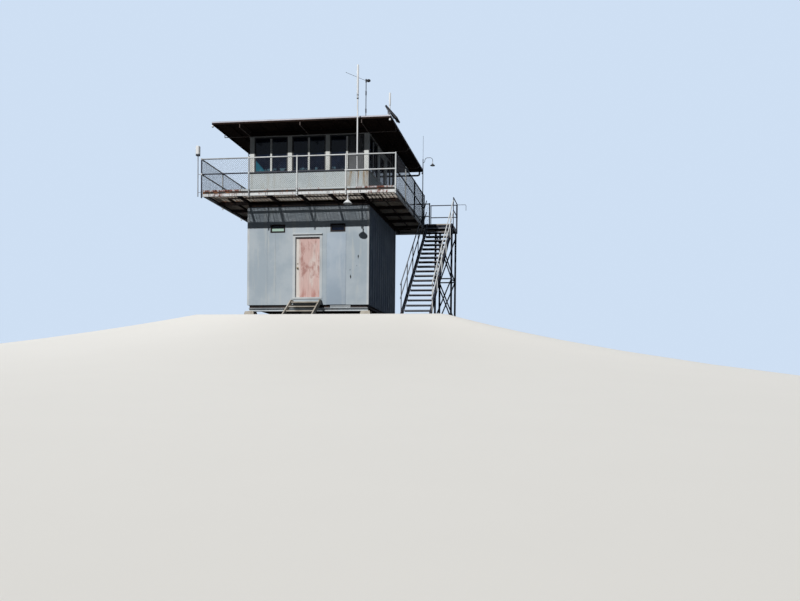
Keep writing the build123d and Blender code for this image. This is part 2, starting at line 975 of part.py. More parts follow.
def stair_stringers():
    """Raking channels, backs to the treads, cut level at the foot."""
    def at(level, offset):
        return first_nosing + (level - offset - riser) / stair_slope

    outline = [
        (at(foot_level, stringer_depth_up), foot_level),
        (at(foot_level, -stringer_depth_down), foot_level),
        (landing_front, nosing_level(landing_front) - stringer_depth_down),
        (landing_front, deck_top),
        (at(deck_top, stringer_depth_up), deck_top),
    ]
    plate = along_x(Polygon(*outline, align=None), stringer_width / 2)
    drop = stringer_flange / cos(atan2(riser, going))
    foot = foot_level + stringer_flange
    head = deck_top - stringer_flange
    end = landing_front - stringer_flange
    hollow = [
        (at(foot, stringer_depth_up - drop), foot),
        (at(foot, drop - stringer_depth_down), foot),
        (end, nosing_level(end) - stringer_depth_down + drop),
        (end, head),
        (at(head, stringer_depth_up - drop), head),
    ]
    pocket = along_x(Polygon(*hollow, align=None), (stringer_width - stringer_web) / 2)
    left = plate - Pos(-stringer_web / 2, 0, 0) * pocket
    right = plate - Pos(stringer_web / 2, 0, 0) * pocket
    left_x = stair_inner_x - stringer_width / 2
    right_x = stair_inner_x + stair_width + stringer_width / 2
    return [Pos(left_x, 0, 0) * left, Pos(right_x, 0, 0) * right]


def stair_treads():
    """Folded pans between the stringers, open underneath."""
    depth = going + tread_overlap
    pan = Rectangle(depth, tread_lip) - Pos(0, -tread_plate) * Rectangle(depth - 2 * tread_plate, tread_lip)
    tread = along_x(pan, stair_width / 2)
    middle = stair_inner_x + stair_width / 2
    pieces = []
    for step in range(1, riser_count):
        nosing = first_nosing + (step - 1) * going
        top = step * riser
        pieces.append(Pos(middle, nosing + depth / 2, top - tread_lip / 2) * tread)
    return pieces


def stair_railing(x):
    """Posts on the stringer's face and two raking rails."""
    posts = []
    for tread in stair_post_treads:
        y = first_nosing + (tread - 1) * going
        low = nosing_level(y) - stringer_depth_down / 2
        posts.append(((x, y, low), (x, y, nosing_level(y) + hand_rail_height)))
    start = first_nosing - going / 2
    end = landing_front - stair_pipe
    rails = []
    for height in (hand_rail_height, hand_mid_height):
        rails.append(((x, start, nosing_level(start) + height), (x, end, nosing_level(end) + height)))
    return let_in(posts, rails, (stair_post, stair_pipe))


def stair_rails():
    """A guard on each side of the flight."""
    left = stair_inner_x - stringer_width - stair_post - slit
    right = landing_right + stair_post + slit
    return stair_railing(left) + stair_railing(right)


def landing_frame():
    """Channels under the front, back and right edges of the landing."""
    section = channel_section(channel_width, beam_depth, beam_flange, channel_web)
    level = beam_foot + beam_depth / 2
    inner = deck_half + slit
    middle = (inner + landing_right) / 2
    half = (landing_right - inner) / 2
    offset = channel_width / 2
    front = Pos(middle, landing_front + offset, level) * along_x(section, half)
    back = Pos(middle, landing_back - offset, level) * Rot(0, 0, 180) * along_x(section, half)
    side_half = landing_depth / 2 - channel_width - slit
    side = Rot(0, 0, 90) * along_x(section, side_half)
    right = Pos(landing_right - offset, (landing_front + landing_back) / 2, level) * side
    return [front, back, right]


def landing_grating():
    inner = deck_half + slit
    return [grating((inner, landing_right), (landing_front, landing_back), "y")]


def landing_leg_places():
    """Middles of the four legs in plan."""
    outer_x = landing_right - leg_size / 2
    near = landing_front + tread_overlap + slit + leg_size / 2
    far = landing_back - leg_size / 2
    return [(x, y) for y in (near, far) for x in (leg_inner_x, outer_x)]


def landing_legs():
    """Square posts with their base plates."""
    pieces = []
    for x, y in landing_leg_places():
        post = Pos(x, y, (foot_level + beam_foot) / 2) * Box(leg_size, leg_size, beam_foot - foot_level)
        plate = Pos(x, y, foot_level + leg_plate_thick / 2) * Box(leg_plate, leg_plate, leg_plate_thick)
        pieces.append(joined([post, plate]))
    return pieces


def flat_bar(start, end):
    """A flat bar in an X-Z plane between two points, about y = 0."""
    dx = end[0] - start[0]
    dz = end[1] - start[1]
    length = (dx**2 + dz**2) ** 0.5
    bar = Box(length, brace_thick, brace_width)
    middle = Pos((start[0] + end[0]) / 2, 0, (start[1] + end[1]) / 2)
    return middle * Rot(0, -degrees(atan2(dz, dx)), 0) * bar


def landing_bracing():
    """Flat bars bolted in three layers, front and back, with side struts between.

    The strut lies on the legs, the rising bars on it and the falling ones on those. Packing
    plates fill the layers at the corners where a bar has nothing under it.
    """
    places = landing_leg_places()
    left = places[0][0]
    right = places[1][0]
    near = places[0][1]
    far = places[2][1]
    brace_high = beam_foot - brace_low / 2
    half = brace_width / 2
    layers = [
        [((left - leg_size / 2, brace_mid), (right + leg_size / 2, brace_mid))],
        [((left, brace_low), (right, brace_mid)), ((left, brace_mid), (right, brace_high))],
        [((left, brace_mid), (right, brace_low)), ((left, brace_high), (right, brace_mid))],
    ]
    packed = ((left, brace_low, 1), (right, brace_high, 1), (right, brace_low, 2), (left, brace_high, 2))
    pieces = []
    for y, way in ((near, 1), (far, -1)):
        face = y + way * leg_size / 2
        for layer, bars in enumerate(layers):
            middle = face + way * (layer + 0.5) * brace_thick
            pieces += [Pos(0, middle, 0) * flat_bar(start, end) for start, end in bars]
        for x, z, depth in packed:
            ys = sorted((face, face + way * depth * brace_thick))
            pieces.append(block((x - half, x + half), ys, (z - half, z + half)))
    inner = leg_size / 2 + len(layers) * brace_thick + slit
    zs = (brace_mid - half, brace_mid + half)
    for x in (left, right):
        xs = (x - brace_thick / 2, x + brace_thick / 2)
        pieces.append(block(xs, (near + inner, far - inner), zs))
    return pieces


def landing_heights():
    return deck_top + landing_rail_height, deck_top + landing_mid_height


def landing_rails():
    """The guards along the landing's outer side and its back."""
    heights = landing_heights()
    radii = (stair_post, stair_pipe)
    line = landing_right + stair_post + slit
    posts = (landing_front + 3 * stair_pipe + slit, landing_back - stair_pipe)
    ends = (posts[0] - stair_post, posts[1] + stair_post)
    outer = pipe_panel(line, posts, ends, heights, beam_foot, radii)
    line = landing_back + stair_post + slit
    posts = (-landing_right + stair_pipe, -rail_line - post_radius - 2 * stair_pipe)
    ends = (posts[0] - stair_post, posts[1] + stair_post)
    back = pipe_panel(line, posts, ends, heights, beam_foot, radii)
    return [turned(piece, 1) for piece in outer] + [turned(piece, 2) for piece in back]


def landing_arm():
    """A thin arm that reaches out from the landing's corner post and turns down."""
    x = landing_right + stair_post + stair_pipe + 2 * slit
    y = landing_back - stair_pipe
    z = deck_top + landing_rail_height
    out = x + arm_reach
    route = FilletPolyline((x, y, z), (out, y, z), (out, y, z - arm_drop), radius=arm_bend)
    return [sweep(Plane((x, y, z), z_dir=(1, 0, 0)) * Circle(arm_radius), path=route)]


def mast_foot(x, side):
    """A foot plate on the grating, close inside the toe plate."""
    edge = inside_toe - slit
    ys = sorted((side * edge, side * (edge - foot_plate)))
    return block((x - foot_plate / 2, x + foot_plate / 2), ys, (deck_top, deck_top + foot_plate_thick))


def tall_mast():
    """A white mast inside the front railing, with its collars."""
    y = -inside_toe + mast_radius + slit
    pieces = [rod((mast_x, y, deck_top + foot_plate_thick), (mast_x, y, mast_top), mast_radius)]
    for drop, height in mast_collars:
        low = mast_top - drop
        pieces.append(rod((mast_x, y, low), (mast_x, y, low + height), mast_radius + collar_extra))
    return [joined(pieces), mast_foot(mast_x, -1)]


def roof_foot_plate(x, y):
    """A square plate flat on the roof."""
    return Pos(x, y, roof_top + foot_plate_thick / 2) * Box(foot_plate, foot_plate, foot_plate_thick)


def weather_mast():
    """A thin mast on the roof with two sleeves and the pin that the vane turns on."""
    foot = (weather_x, weather_y, roof_top + foot_plate_thick)
    pieces = [rod(foot, (weather_x, weather_y, weather_top), weather_radius)]
    for level, height in weather_sleeves:
        low = (weather_x, weather_y, roof_top + level)
        high = (weather_x, weather_y, roof_top + level + height)
        pieces.append(rod(low, high, weather_radius + collar_extra))
    head = (weather_x, weather_y, weather_top)
    pin_end = (weather_x, weather_y, weather_top + vane_pin_length)
    pieces.append(rod(head, pin_end, vane_pin_radius))
    return [joined(pieces), roof_foot_plate(weather_x, weather_y)]


def wind_vane():
    """The turning head: a hub, a dark body behind and a long thin arm."""
    base = weather_top + vane_gap
    hub = rod((0, 0, 0), (0, 0, vane_hub_height), vane_hub_radius)
    level = vane_hub_height / 2
    back = -vane_hub_radius / 2
    outline = Polygon(
        (back, 0),
        (vane_body_length, 0),
        (vane_body_length, vane_body_radius * 0.4),
        (vane_body_length * 0.85, vane_body_radius * 0.8),
        (vane_body_length * 0.6, vane_body_radius),
        (vane_body_length * 0.4, vane_body_radius * 0.9),
        (back, vane_hub_radius * 0.6),
        align=None,
    )
    body = Pos(0, 0, level) * revolve(outline, Axis.X)
    rise = radians(vane_arm_rise)
    tip = (-vane_arm_length * cos(rise), 0, level + vane_arm_length * sin(rise))
    arm = rod((0, 0, level), tip, vane_arm_radius)
    weight = Pos(*tip) * Sphere(vane_arm_radius * 2)
    bore = rod((0, 0, 0), (0, 0, vane_pin_length), vane_pin_radius + pin_clearance)
    head = joined([hub, body, arm, weight]) - bore
    return [Pos(weather_x, weather_y, base) * head]


def solar_seat():
    """The tilted place of the panel, its own +Z out over the stair side."""
    return Pos(solar_x, solar_y, solar_level) * Rot(0, solar_tilt, 0)


def solar_post():
    """A short post with a tilted plate that the panel is screwed to."""
    under = Pos(-solar_plate_shift, 0, -(solar_thick + foot_plate_thick) / 2)
    plate = solar_seat() * under * Box(foot_plate, foot_plate, foot_plate_thick)
    x = plate.center().X
    foot = roof_top + foot_plate_thick
    tall = rod((x, solar_y, foot), (x, solar_y, solar_level + solar_length), solar_post_radius)
    above = solar_seat() * Pos(0, 0, solar_length - solar_thick / 2 - foot_plate_thick / 2)
    post = tall - above * Box(3 * solar_length, solar_length, 2 * solar_length)
    return [joined([post, plate]), roof_foot_plate(x, solar_y)]


def solar_panel():
    """A framed panel tilted off the roof's front right corner."""
    panel = Box(solar_length, solar_width, solar_thick)
    recess = Box(solar_length - 2 * solar_rim, solar_width - 2 * solar_rim, 2 * solar_recess)
    return [solar_seat() * (panel - Pos(0, 0, solar_thick / 2) * recess)]


def stub_pole():
    """A thin pole behind the panel for the white stub."""
    foot = roof_top + foot_plate_thick
    pole = rod((stub_x, stub_y, foot), (stub_x, stub_y, stub_level), solar_post_radius)
    return [pole, roof_foot_plate(stub_x, stub_y)]


def stub_antenna():
    """A white stub with a rounded top."""
    stub = rod((stub_x, stub_y, stub_level), (stub_x, stub_y, stub_level + stub_length), stub_radius)
    edges = stub.edges().filter_by(GeomType.CIRCLE).sort_by(Axis.Z)
    return [fillet(edges[-1:], stub_radius * 0.6)]


def radome_pole():
    """A thin pole up the outside of the front left corner post."""
    y = -rail_line
    low = beam_foot
    foot, head = (radome_x, y, low), (radome_x, y, radome_level)
    seat = rod(foot, head, radome_pole_radius + slit)
    end = -rail_line - post_radius - slit
    pieces = [rod(foot, head, radome_pole_radius)]
    for z in (rail_mid, deck_top):
        clamp = rod((radome_x, y, z), (end, y, z), radome_pole_radius / 2)
        pieces += clamp.cut(seat).solids()
    return pieces


def radome():
    """A white round-topped housing with a dark foot on the pole."""
    low = radome_level
    shell = rod((radome_x, -rail_line, low), (radome_x, -rail_line, low + radome_length), radome_radius)
    edges = shell.edges().filter_by(GeomType.CIRCLE).sort_by(Axis.Z)
    return [fillet(edges[-1:], radome_radius * 0.4)]


def bell_shade(radius, height):
    """A turned lamp shade, mouth down, with its top at the origin."""
    neck = radius * 0.14
    outside = Spline((neck, -height * 0.3), (radius * 0.55, -height * 0.62), (radius, -height))
    inner = radius - shade_wall
    waist = radius * 0.55 - shade_wall
    inside = Spline((inner, -height), (waist, -height * 0.62 - shade_wall), (0, -height * 0.42))
    outline = [
        Line((0, 0), (neck, 0)),
        Line((neck, 0), (neck, -height * 0.3)),
        outside,
        Line((radius, -height), (inner, -height)),
        inside,
        Line((0, -height * 0.42), (0, 0)),
    ]
    return revolve(Plane.XZ * make_face(outline), Axis.Z)


def front_lamp():
    """A white bell lamp hung under the front edge channel."""
    y = -deck_half + channel_width / 2
    height = lamp_radius * 1.25
    top = beam_foot - lamp_drop + height
    shade = Pos(lamp_x, y, top) * bell_shade(lamp_radius, height)
    stem = rod((lamp_x, y, top), (lamp_x, y, beam_foot), lamp_stem_radius)
    return [joined([shade, stem])]


def rear_mast():
    """A dark mast at the back right corner, with a whip and a curved lamp arm."""
    y = inside_toe - whip_mast_radius - slit
    foot, head = (whip_x, y, deck_top + foot_plate_thick), (whip_x, y, whip_mast_top)
    mast = rod(foot, head, whip_mast_radius)
    seat = rod(foot, head, whip_mast_radius + slit)
    whip = rod((whip_x, y, whip_mast_top), (whip_x, y, whip_mast_top + whip_length), whip_radius)
    top = neck_level + neck_rise
    bend = neck_reach * 0.3
    route = FilletPolyline(
        (whip_x, y, neck_level),
        (whip_x + neck_reach * 0.18, y, neck_level),
        (whip_x + neck_reach * 0.18, y, top),
        (whip_x + neck_reach, y, top),
        (whip_x + neck_reach, y, top - neck_rise),
        radius=[neck_reach * 0.15, bend, bend],
    )
    arm = sweep(Plane((whip_x, y, neck_level), z_dir=(1, 0, 0)) * Circle(neck_pipe), path=route)
    return [mast, whip, mast_foot(whip_x, 1), *arm.cut(seat).solids()]


def rear_lamp():
    """The shade on the end of the curved arm."""
    y = inside_toe - whip_mast_radius - slit
    height = rear_lamp_radius * 1.3
    shade = bell_shade(rear_lamp_radius, height)
    return [Pos(whip_x + neck_reach, y, neck_level) * shade]


front_bays = [(-outer_bay[1], -outer_bay[0]), (-bay_half, bay_half), outer_bay]
stair_side_bays = [front_bays[0], front_bays[2]]
frames, glass = small_window_frames(), small_window_panes()
for quarter, bays in enumerate((front_bays, stair_side_bays, front_bays, front_bays)):
    side_frames, side_glass = window_side(quarter, bays)
    frames += side_frames
    glass += side_glass
upper_door, upper_door_glass = cab_door()

nodes = {
    "foundation_piers": foundation_piers(),
    "sill_beams": sill_beams(),
    "base_frame": base_frame(),
    "base_vent": base_vent(),
    "room_floor": room_floor(),
    "front_wall_left": front_wall_left(),
    "front_wall_right": front_wall_right(),
    "front_wall_at_door": front_wall_at_door(),
    "room_wall_right": room_wall_right(),
    "room_wall_back": room_wall_back(),
    "room_wall_left": room_wall_left(),
    "corner_trims": corner_trims(),
    "door_frame": door_frame() + door_drip_cap(),
    "lower_door": lower_door(),
    "door_knobs": door_knobs(),
    "door_hinge_pins": door_hinge_pins(),
    "door_hinge_leaves": door_hinge_leaves(),
    "door_steps": door_steps(),
    "window_frames": frames,
    "window_glass": glass + upper_door_glass,
    "ring_beams": ring_beams(),
    "deck_beams": deck_joists() + side_outriggers(),
    "deck_edge": edge_channels() + toe_plates(),
    "catwalk_grating": catwalk_grating(),
    "railing_front": railing_front(),
    "railing_back": railing_back(),
    "railing_left": railing_left(),
    "railing_right": railing_right(),
    "cab_floor": cab_floor(),
    "cab_sill_walls": cab_sill_walls(),
    "cab_posts": cab_posts(),
    "window_sills": window_sills(),
    "sash_blind": sash_blind(),
    "cab_door": upper_door,
    "cab_door_frame": cab_door_frame(),
    "cab_head": head_beams() + cab_ceiling(),
    "roof_frame": roof_frame(),
    "roof_deck": roof_deck(),
    "roof_struts": roof_struts(),
    "roof_balls": roof_balls(),
    "rear_eave_pipe": rear_eave_pipe(),
    "stair_stringers": stair_stringers(),
    "stair_treads": stair_treads(),
    "stair_rails": stair_rails() + landing_rails() + landing_arm(),
    "landing_frame": landing_frame(),
    "landing_grating": landing_grating(),
    "landing_legs": landing_legs(),
    "landing_bracing": landing_bracing(),
    "tall_mast": tall_mast(),
    "roof_masts": weather_mast() + solar_post() + stub_pole(),
    "wind_vane": wind_vane(),
    "solar_panel": solar_panel(),
    "antennas": stub_antenna() + radome(),
    "radome_pole": radome_pole(),
    "rear_mast": rear_mast(),
    "lamp_shades": front_lamp() + rear_lamp(),
}

os.makedirs("parts", exist_ok=True)
for name, solids in nodes.items():
    shape = solids[0] if len(solids) == 1 else Compound(children=[*solids])
    export_step(shape, f"parts/{name}.step")
print(len(nodes), "nodes")
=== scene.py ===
import math
from collections import namedtuple

import bmesh
import bpy
from mathutils import Matrix, Vector


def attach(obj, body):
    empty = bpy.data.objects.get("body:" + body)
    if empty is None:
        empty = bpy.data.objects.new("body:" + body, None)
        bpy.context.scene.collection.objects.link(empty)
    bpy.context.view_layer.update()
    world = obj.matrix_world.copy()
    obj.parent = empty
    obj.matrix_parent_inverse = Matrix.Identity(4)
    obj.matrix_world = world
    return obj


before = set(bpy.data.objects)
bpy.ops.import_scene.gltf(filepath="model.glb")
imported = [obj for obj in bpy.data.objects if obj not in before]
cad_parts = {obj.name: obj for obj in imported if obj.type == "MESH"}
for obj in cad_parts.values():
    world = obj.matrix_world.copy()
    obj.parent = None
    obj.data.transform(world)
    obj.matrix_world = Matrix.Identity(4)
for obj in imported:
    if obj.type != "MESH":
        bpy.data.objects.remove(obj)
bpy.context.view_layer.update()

# Sizes shared with the solids, in metres
wall_foot = 0.45
room_half = 2.134
room_skin = 2.12
rib_pitch = 0.34
rib_count = 12
beam_foot = 3.895
beam_lines = (-2.084, -1.042, 0, 1.042, 2.084)
grating_foot = 3.995
deck_top = 4.035
toe_top = 4.105
deck_half = 3.243
rail_line = 3.2674
rail_middle = 4.625
rail_top = 5.12
post_radius = 0.024
cab_half = 2.085
cab_inner = 2.015
cab_head = 6.18
roof_half = 3.03
roof_foot = 6.33
roof_top = 6.42
roof_fold = 0.036
landing_front = 2.025
landing_back = 3.225
landing_side = (3.2434, 4.38)
leg_lines = ((3.72, 4.345), (2.0804, 3.19))
first_nosing = -2.668
stair_mid = 3.88
stair_width = 0.9
going = 0.247
riser = 0.20175
risers = 20
door_floor = 0.705
door_faces = (-2.073, -2.020)
hinge_x = 0.43
hinge_levels = (0.925, 1.725, 2.525)
small_window = (1.055, 3.045)
front_lamp = (1.69, -3.218, 3.565)
rear_lamp = (3.38, 3.2196, 6.63)
vane_mast_at = (1.94, -1.95)
stub_at = (2.88, -2.48)
mast_at = (1.99, -3.2146)
deck_plates = ((1.99, -3.1766), (2.99, 3.1766))
panel_at = (3.035, -2.79, 6.515)
panel_tilt = 48
panel_half = (0.275, 0.24, 0.0175)
panel_rim = 0.02

# What keeps a fitting just off the face behind it
hair = 0.0004

# Places on the front wall where the paint has chipped: x, z, half width, half height
front_chips = (
    (1.77, 2.06, 0.03, 0.09),
    (1.51, 1.39, 0.028, 0.12),
    (1.49, 1.62, 0.014, 0.04),
    (1.72, 1.75, 0.012, 0.03),
)

# The camera, from the fit to the photographed corners
camera_at = (8.5443, -27.8673, -2.7176)
camera_yaw = -0.1388
camera_pitch = -0.0195
camera_roll = 0.0112
focal_pixels = 782.958
image_width = 800
image_height = 601
middle_pixel = (450.16, 414.91)

# How much light a dull paint and a bare metal throw back
matte = 0.05
metal_gloss = 0.5

frontward = Vector((0, -1, 0))


def tint(red, green, blue):
    """A colour as a display shows it, 0 to 255, turned to light."""
    parts = []
    for part in (red, green, blue):
        share = part / 255
        parts.append(share / 12.92 if share <= 0.04045 else ((share + 0.055) / 1.055) ** 2.4)
    return (*parts, 1.0)


def placed(name, data):
    """A new object in the scene."""
    made = bpy.data.objects.new(name, data)
    bpy.context.scene.collection.objects.link(made)
    return made


class Amount:
    """A socket on which sums are written as plain Python sums."""

    def __init__(self, sheet, socket):
        self.sheet = sheet
        self.socket = socket

    def __add__(self, other):
        return self.sheet.sums("ADD", self, other)

    def __sub__(self, other):
        return self.sheet.sums("SUBTRACT", self, other)

    def __rsub__(self, other):
        return self.sheet.sums("SUBTRACT", other, self)

    def __mul__(self, other):
        return self.sheet.sums("MULTIPLY", self, other)

    def __truediv__(self, other):
        return self.sheet.sums("DIVIDE", self, other)

    def __mod__(self, other):
        return self.sheet.sums("MODULO", self, other)

    __radd__ = __add__
    __rmul__ = __mul__

    def most(self, other):
        return self.sheet.sums("MAXIMUM", self, other)

    def least(self, other):
        return self.sheet.sums("MINIMUM", self, other)

    def size(self):
        return self.sheet.sums("ABSOLUTE", self, 0.0)

    def above(self, low, high):
        """0 below low, 1 above high, eased between."""
        settings = {"interpolation_type": "SMOOTHSTEP"}
        return self.sheet.add("ShaderNodeMapRange", {0: self, 1: low, 2: high}, settings)

    def below(self, low, high):
        """1 below low, 0 above high, eased between."""
        return 1 - self.above(low, high)

    def within(self, low, high, soft):
        """1 between low and high, 0 outside."""
        return self.above(low - soft, low) * self.below(high, high + soft)


class Sheet:
    """A tree of nodes, filled through one method."""

    def __init__(self, tree):
        self.tree = tree

    def add(self, kind, sockets=None, settings=None, output=0):
        node = self.tree.nodes.new(kind)
        for name, value in (settings or {}).items():
            setattr(node, name, value)
        for key, value in (sockets or {}).items():
            if isinstance(value, Amount):
                self.tree.links.new(value.socket, node.inputs[key])
            else:
                node.inputs[key].default_value = value
        return Amount(self, node.outputs[output])

    def sums(self, operation, first, second):
        return self.add("ShaderNodeMath", {0: first, 1: second}, {"operation": operation})


class Finish(Sheet):
    """A material whose colour, gloss and relief vary over the piece."""

    def __init__(self, name, colour):
        self.material = bpy.data.materials.new(name)
        self.material.use_nodes = True
        super().__init__(self.material.node_tree)
        self.surface = self.tree.nodes["Principled BSDF"]
        self.place = self.add("ShaderNodeTexCoord", output="Object")
        self.x, self.y, self.z = self.parts(self.place)
        self.colour = tint(*colour)

    def parts(self, place):
        """The three coordinates of a place."""
        node = self.add("ShaderNodeSeparateXYZ", {0: place}).socket.node
        return [Amount(self, socket) for socket in node.outputs]

    def noise(self, scale, detail=4.0, stretch=(1, 1, 1), rough=0.6, shift=0.0):
        sockets = {"Vector": self.place, "Location": (shift, shift, shift), "Scale": stretch}
        moved = self.add("ShaderNodeMapping", sockets)
        sockets = {"Vector": moved, "Scale": scale, "Detail": detail, "Roughness": rough}
        return self.add("ShaderNodeTexNoise", sockets)

    def mix(self, first, second, mask):
        return self.add("ShaderNodeMix", {0: mask, 6: first, 7: second}, {"data_type": "RGBA"}, 2)

    def tone(self, mask, *colour):
        """Lays a colour over what is there, as far as the mask says."""
        self.colour = self.mix(self.colour, tint(*colour), mask)

    def relief(self, height, depth):
        return self.add("ShaderNodeBump", {"Strength": 0.6, "Distance": depth, "Height": height})

    def dress(self, **sockets):
        """Sets the surface's own sockets, by name with _ for a space."""
        for name, value in {"Base_Color": self.colour, **sockets}.items():
            socket = self.surface.inputs[name.replace("_", " ")]
            if isinstance(value, Amount):
                self.tree.links.new(value.socket, socket)
            else:
                socket.default_value = value
        return self.material


class Coat(Finish):
    """A finish with a broad second tone, rain streaks, chipped spots and fine relief."""

    def __init__(self, name, base):
        recipe = Recipe(*recipes[base])
        super().__init__(name, recipe.base)
        self.recipe = recipe
        broad = self.noise(0.9, 5.0)
        rain = self.noise(7.0, 6.0, (1, 1, 0.09), 0.65, 3.1)
        fleck = self.noise(11.0, 7.0, (1, 1, 0.7), 0.7, 7.7)
        self.fine = self.noise(90.0, 5.0, (1, 1, 1), 0.7)
        self.spots = fleck.above(recipe.spots_from, recipe.spots_from + 0.03)
        self.tone(broad.above(0.38, 0.62), *recipe.second)
        self.tone(rain.above(0.5, 0.74) * recipe.streaks, *recipe.streak)
        self.tone(self.spots, *recipe.spot)
        height = self.fine * 0.35 + broad * 0.5 - self.spots * 0.8
        self.normal = self.relief(height, recipe.depth)

    def grimy(self, mask, share=0.15):
        """The mask, made a little uneven."""
        return mask * (1 - share + self.fine * share)

    def done(self, rough, fine=0.15, spots=0.2, gloss=matte):
        """Ends the coat, rougher where it is grainy or chipped."""
        return self.dress(
            Roughness=rough + self.fine * fine + self.spots * spots,
            Specular_IOR_Level=gloss,
            Normal=self.normal,
        )


class Maker(Sheet):
    """A geometry tree with named inputs that ends in real geometry with a material."""

    def __init__(self, name, inputs):
        tree = bpy.data.node_groups.new(name, "GeometryNodeTree")
        super().__init__(tree)
        kinds = {"Geometry": "NodeSocketGeometry", "Material": "NodeSocketMaterial"}
        self.sockets = {}
        for title in ("Geometry", *inputs, "Material"):
            kind = kinds.get(title, inputs.get(title))
            self.sockets[title] = tree.interface.new_socket(title, in_out="INPUT", socket_type=kind)
        tree.interface.new_socket("Geometry", in_out="OUTPUT", socket_type="NodeSocketGeometry")
        given = tree.nodes.new("NodeGroupInput")
        self.given = {title: Amount(self, given.outputs[title]) for title in self.sockets}

    def close(self, geometry):
        """Realizes the copies, gives them the material and ends the tree."""
        real = self.add("GeometryNodeRealizeInstances", {"Geometry": geometry})
        sockets = {"Geometry": real, "Material": self.given["Material"]}
        painted = self.add("GeometryNodeSetMaterial", sockets)
        end = self.tree.nodes.new("NodeGroupOutput")
        self.tree.links.new(painted.socket, end.inputs["Geometry"])
        return self

    def grown(self, values, finish, start=None):
        """The mesh that the tree makes with these sizes."""
        holder = placed("holder", start or bpy.data.meshes.new("start"))
        modifier = holder.modifiers.new("maker", "NODES")
        modifier.node_group = self.tree
        for title, value in {**values, "Material": finishes[finish]}.items():
            modifier[self.sockets[title].identifier] = value
        holder.update_tag()
        depsgraph = bpy.context.evaluated_depsgraph_get()
        depsgraph.update()
        made = bpy.data.meshes.new_from_object(holder.evaluated_get(depsgraph))
        holder.modifiers.remove(modifier)
        bpy.data.objects.remove(holder)
        return made


def wire_net():
    """Zigzag wires side by side, each hooked to the next, in the X-Z plane."""
    sizes = {name: "NodeSocketFloat" for name in ("Length", "Height", "Diamond", "Wire")}
    net = Maker("wire_net", sizes)
    half = net.given["Diamond"] * 0.5
    turn = net.add("GeometryNodeInputIndex") % 2.0
    step = net.add("ShaderNodeCombineXYZ", {"Z": half})
    rows = net.given["Height"] / half + 1.0
    upright = net.add("GeometryNodeMeshLine", {"Count": rows, "Offset": step})
    swing = net.add("ShaderNodeCombineXYZ", {"X": (turn - 0.5) * half})
    zigzag = net.add("GeometryNodeSetPosition", {"Geometry": upright, "Offset": swing})
    line = net.add("GeometryNodeMeshToCurve", {"Mesh": zigzag})
    ring = net.add("GeometryNodeCurvePrimitiveCircle", {"Resolution": 3, "Radius": net.given["Wire"]})
    wire = net.add("GeometryNodeCurveToMesh", {"Curve": line, "Profile Curve": ring, "Fill Caps": True})
    start = net.add("ShaderNodeCombineXYZ", {"X": half * 0.5})
    across = net.add("ShaderNodeCombineXYZ", {"X": half})
    sockets = {"Count": net.given["Length"] / half, "Start Location": start, "Offset": across}
    places = net.add("GeometryNodeMeshLine", sockets)
    facing = net.add("ShaderNodeCombineXYZ", {"Z": turn * math.pi})
    sockets = {"Points": places, "Instance": wire, "Rotation": facing}
    return net.close(net.add("GeometryNodeInstanceOnPoints", sockets))


def bar_row():
    """Equal bars set off from each other by one step."""
    inputs = {"Count": "NodeSocketInt"}
    inputs.update({name: "NodeSocketVector" for name in ("Start", "Step", "Size")})
    row = Maker("bar_row", inputs)
    count, start, step, size = (row.given[title] for title in inputs)
    places = row.add("GeometryNodeMeshLine", {"Count": count, "Start Location": start, "Offset": step})
    bar = row.add("GeometryNodeMeshCube", {"Size": size})
    return row.close(row.add("GeometryNodeInstanceOnPoints", {"Points": places, "Instance": bar}))


def stud_heads():
    """Bolt or screw heads on the points of a mesh, each facing its own way."""
    inputs = {"Sides": "NodeSocketInt", "Radius": "NodeSocketFloat", "Height": "NodeSocketFloat"}
    studs = Maker("stud_heads", inputs)
    sides, radius, height = (studs.given[title] for title in inputs)
    head = studs.add("GeometryNodeMeshCylinder", {"Vertices": sides, "Radius": radius, "Depth": height})
    settings = {"data_type": "FLOAT_VECTOR"}
    way = studs.add("GeometryNodeInputNamedAttribute", {"Name": "facing"}, settings)
    turn = studs.add("FunctionNodeAlignRotationToVector", {"Vector": way}, {"axis": "Z"})
    points = studs.add("GeometryNodeMeshToPoints", {"Mesh": studs.given["Geometry"]})
    sockets = {"Points": points, "Instance": head, "Rotation": turn}
    return studs.close(studs.add("GeometryNodeInstanceOnPoints", sockets))


def set_down(name, bm, finish, body="tower", smooth=None):
    """A finished piece from a bmesh, riding on a body."""
    mesh = bpy.data.meshes.new(name)
    bm.to_mesh(mesh)
    bm.free()
    settle(name, mesh, finish, body, smooth)


def settle(name, mesh, finish, body="tower", smooth=None):
    """A finished piece from a mesh, riding on a body."""
    mesh.name = name
    mesh.materials.clear()
    mesh.materials.append(finishes[finish])
    if smooth is not None:
        mesh.shade_smooth()
        mesh.set_sharp_from_angle(angle=math.radians(smooth))
    piece = placed(name, mesh)
    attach(piece, body)


def gathered(meshes):
    """One bmesh from several meshes."""
    bm = bmesh.new()
    for mesh in meshes:
        bm.from_mesh(mesh)
    return bm


def quarter_turn(quarter):
    """Carries a front piece to the right, back or left side."""
    return Matrix.Rotation(math.radians(90 * quarter), 4, "Z")


def slab(bm, low, high, quarter=0):
    """Adds a box between two corners, carried to one of the four sides."""
    size = Vector(high) - Vector(low)
    middle = (Vector(high) + Vector(low)) / 2
    move = Matrix.Translation(middle) @ Matrix.Diagonal((*size, 1))
    verts = bmesh.ops.create_cube(bm, size=1, matrix=move)["verts"]
    bmesh.ops.transform(bm, matrix=quarter_turn(quarter), verts=verts)


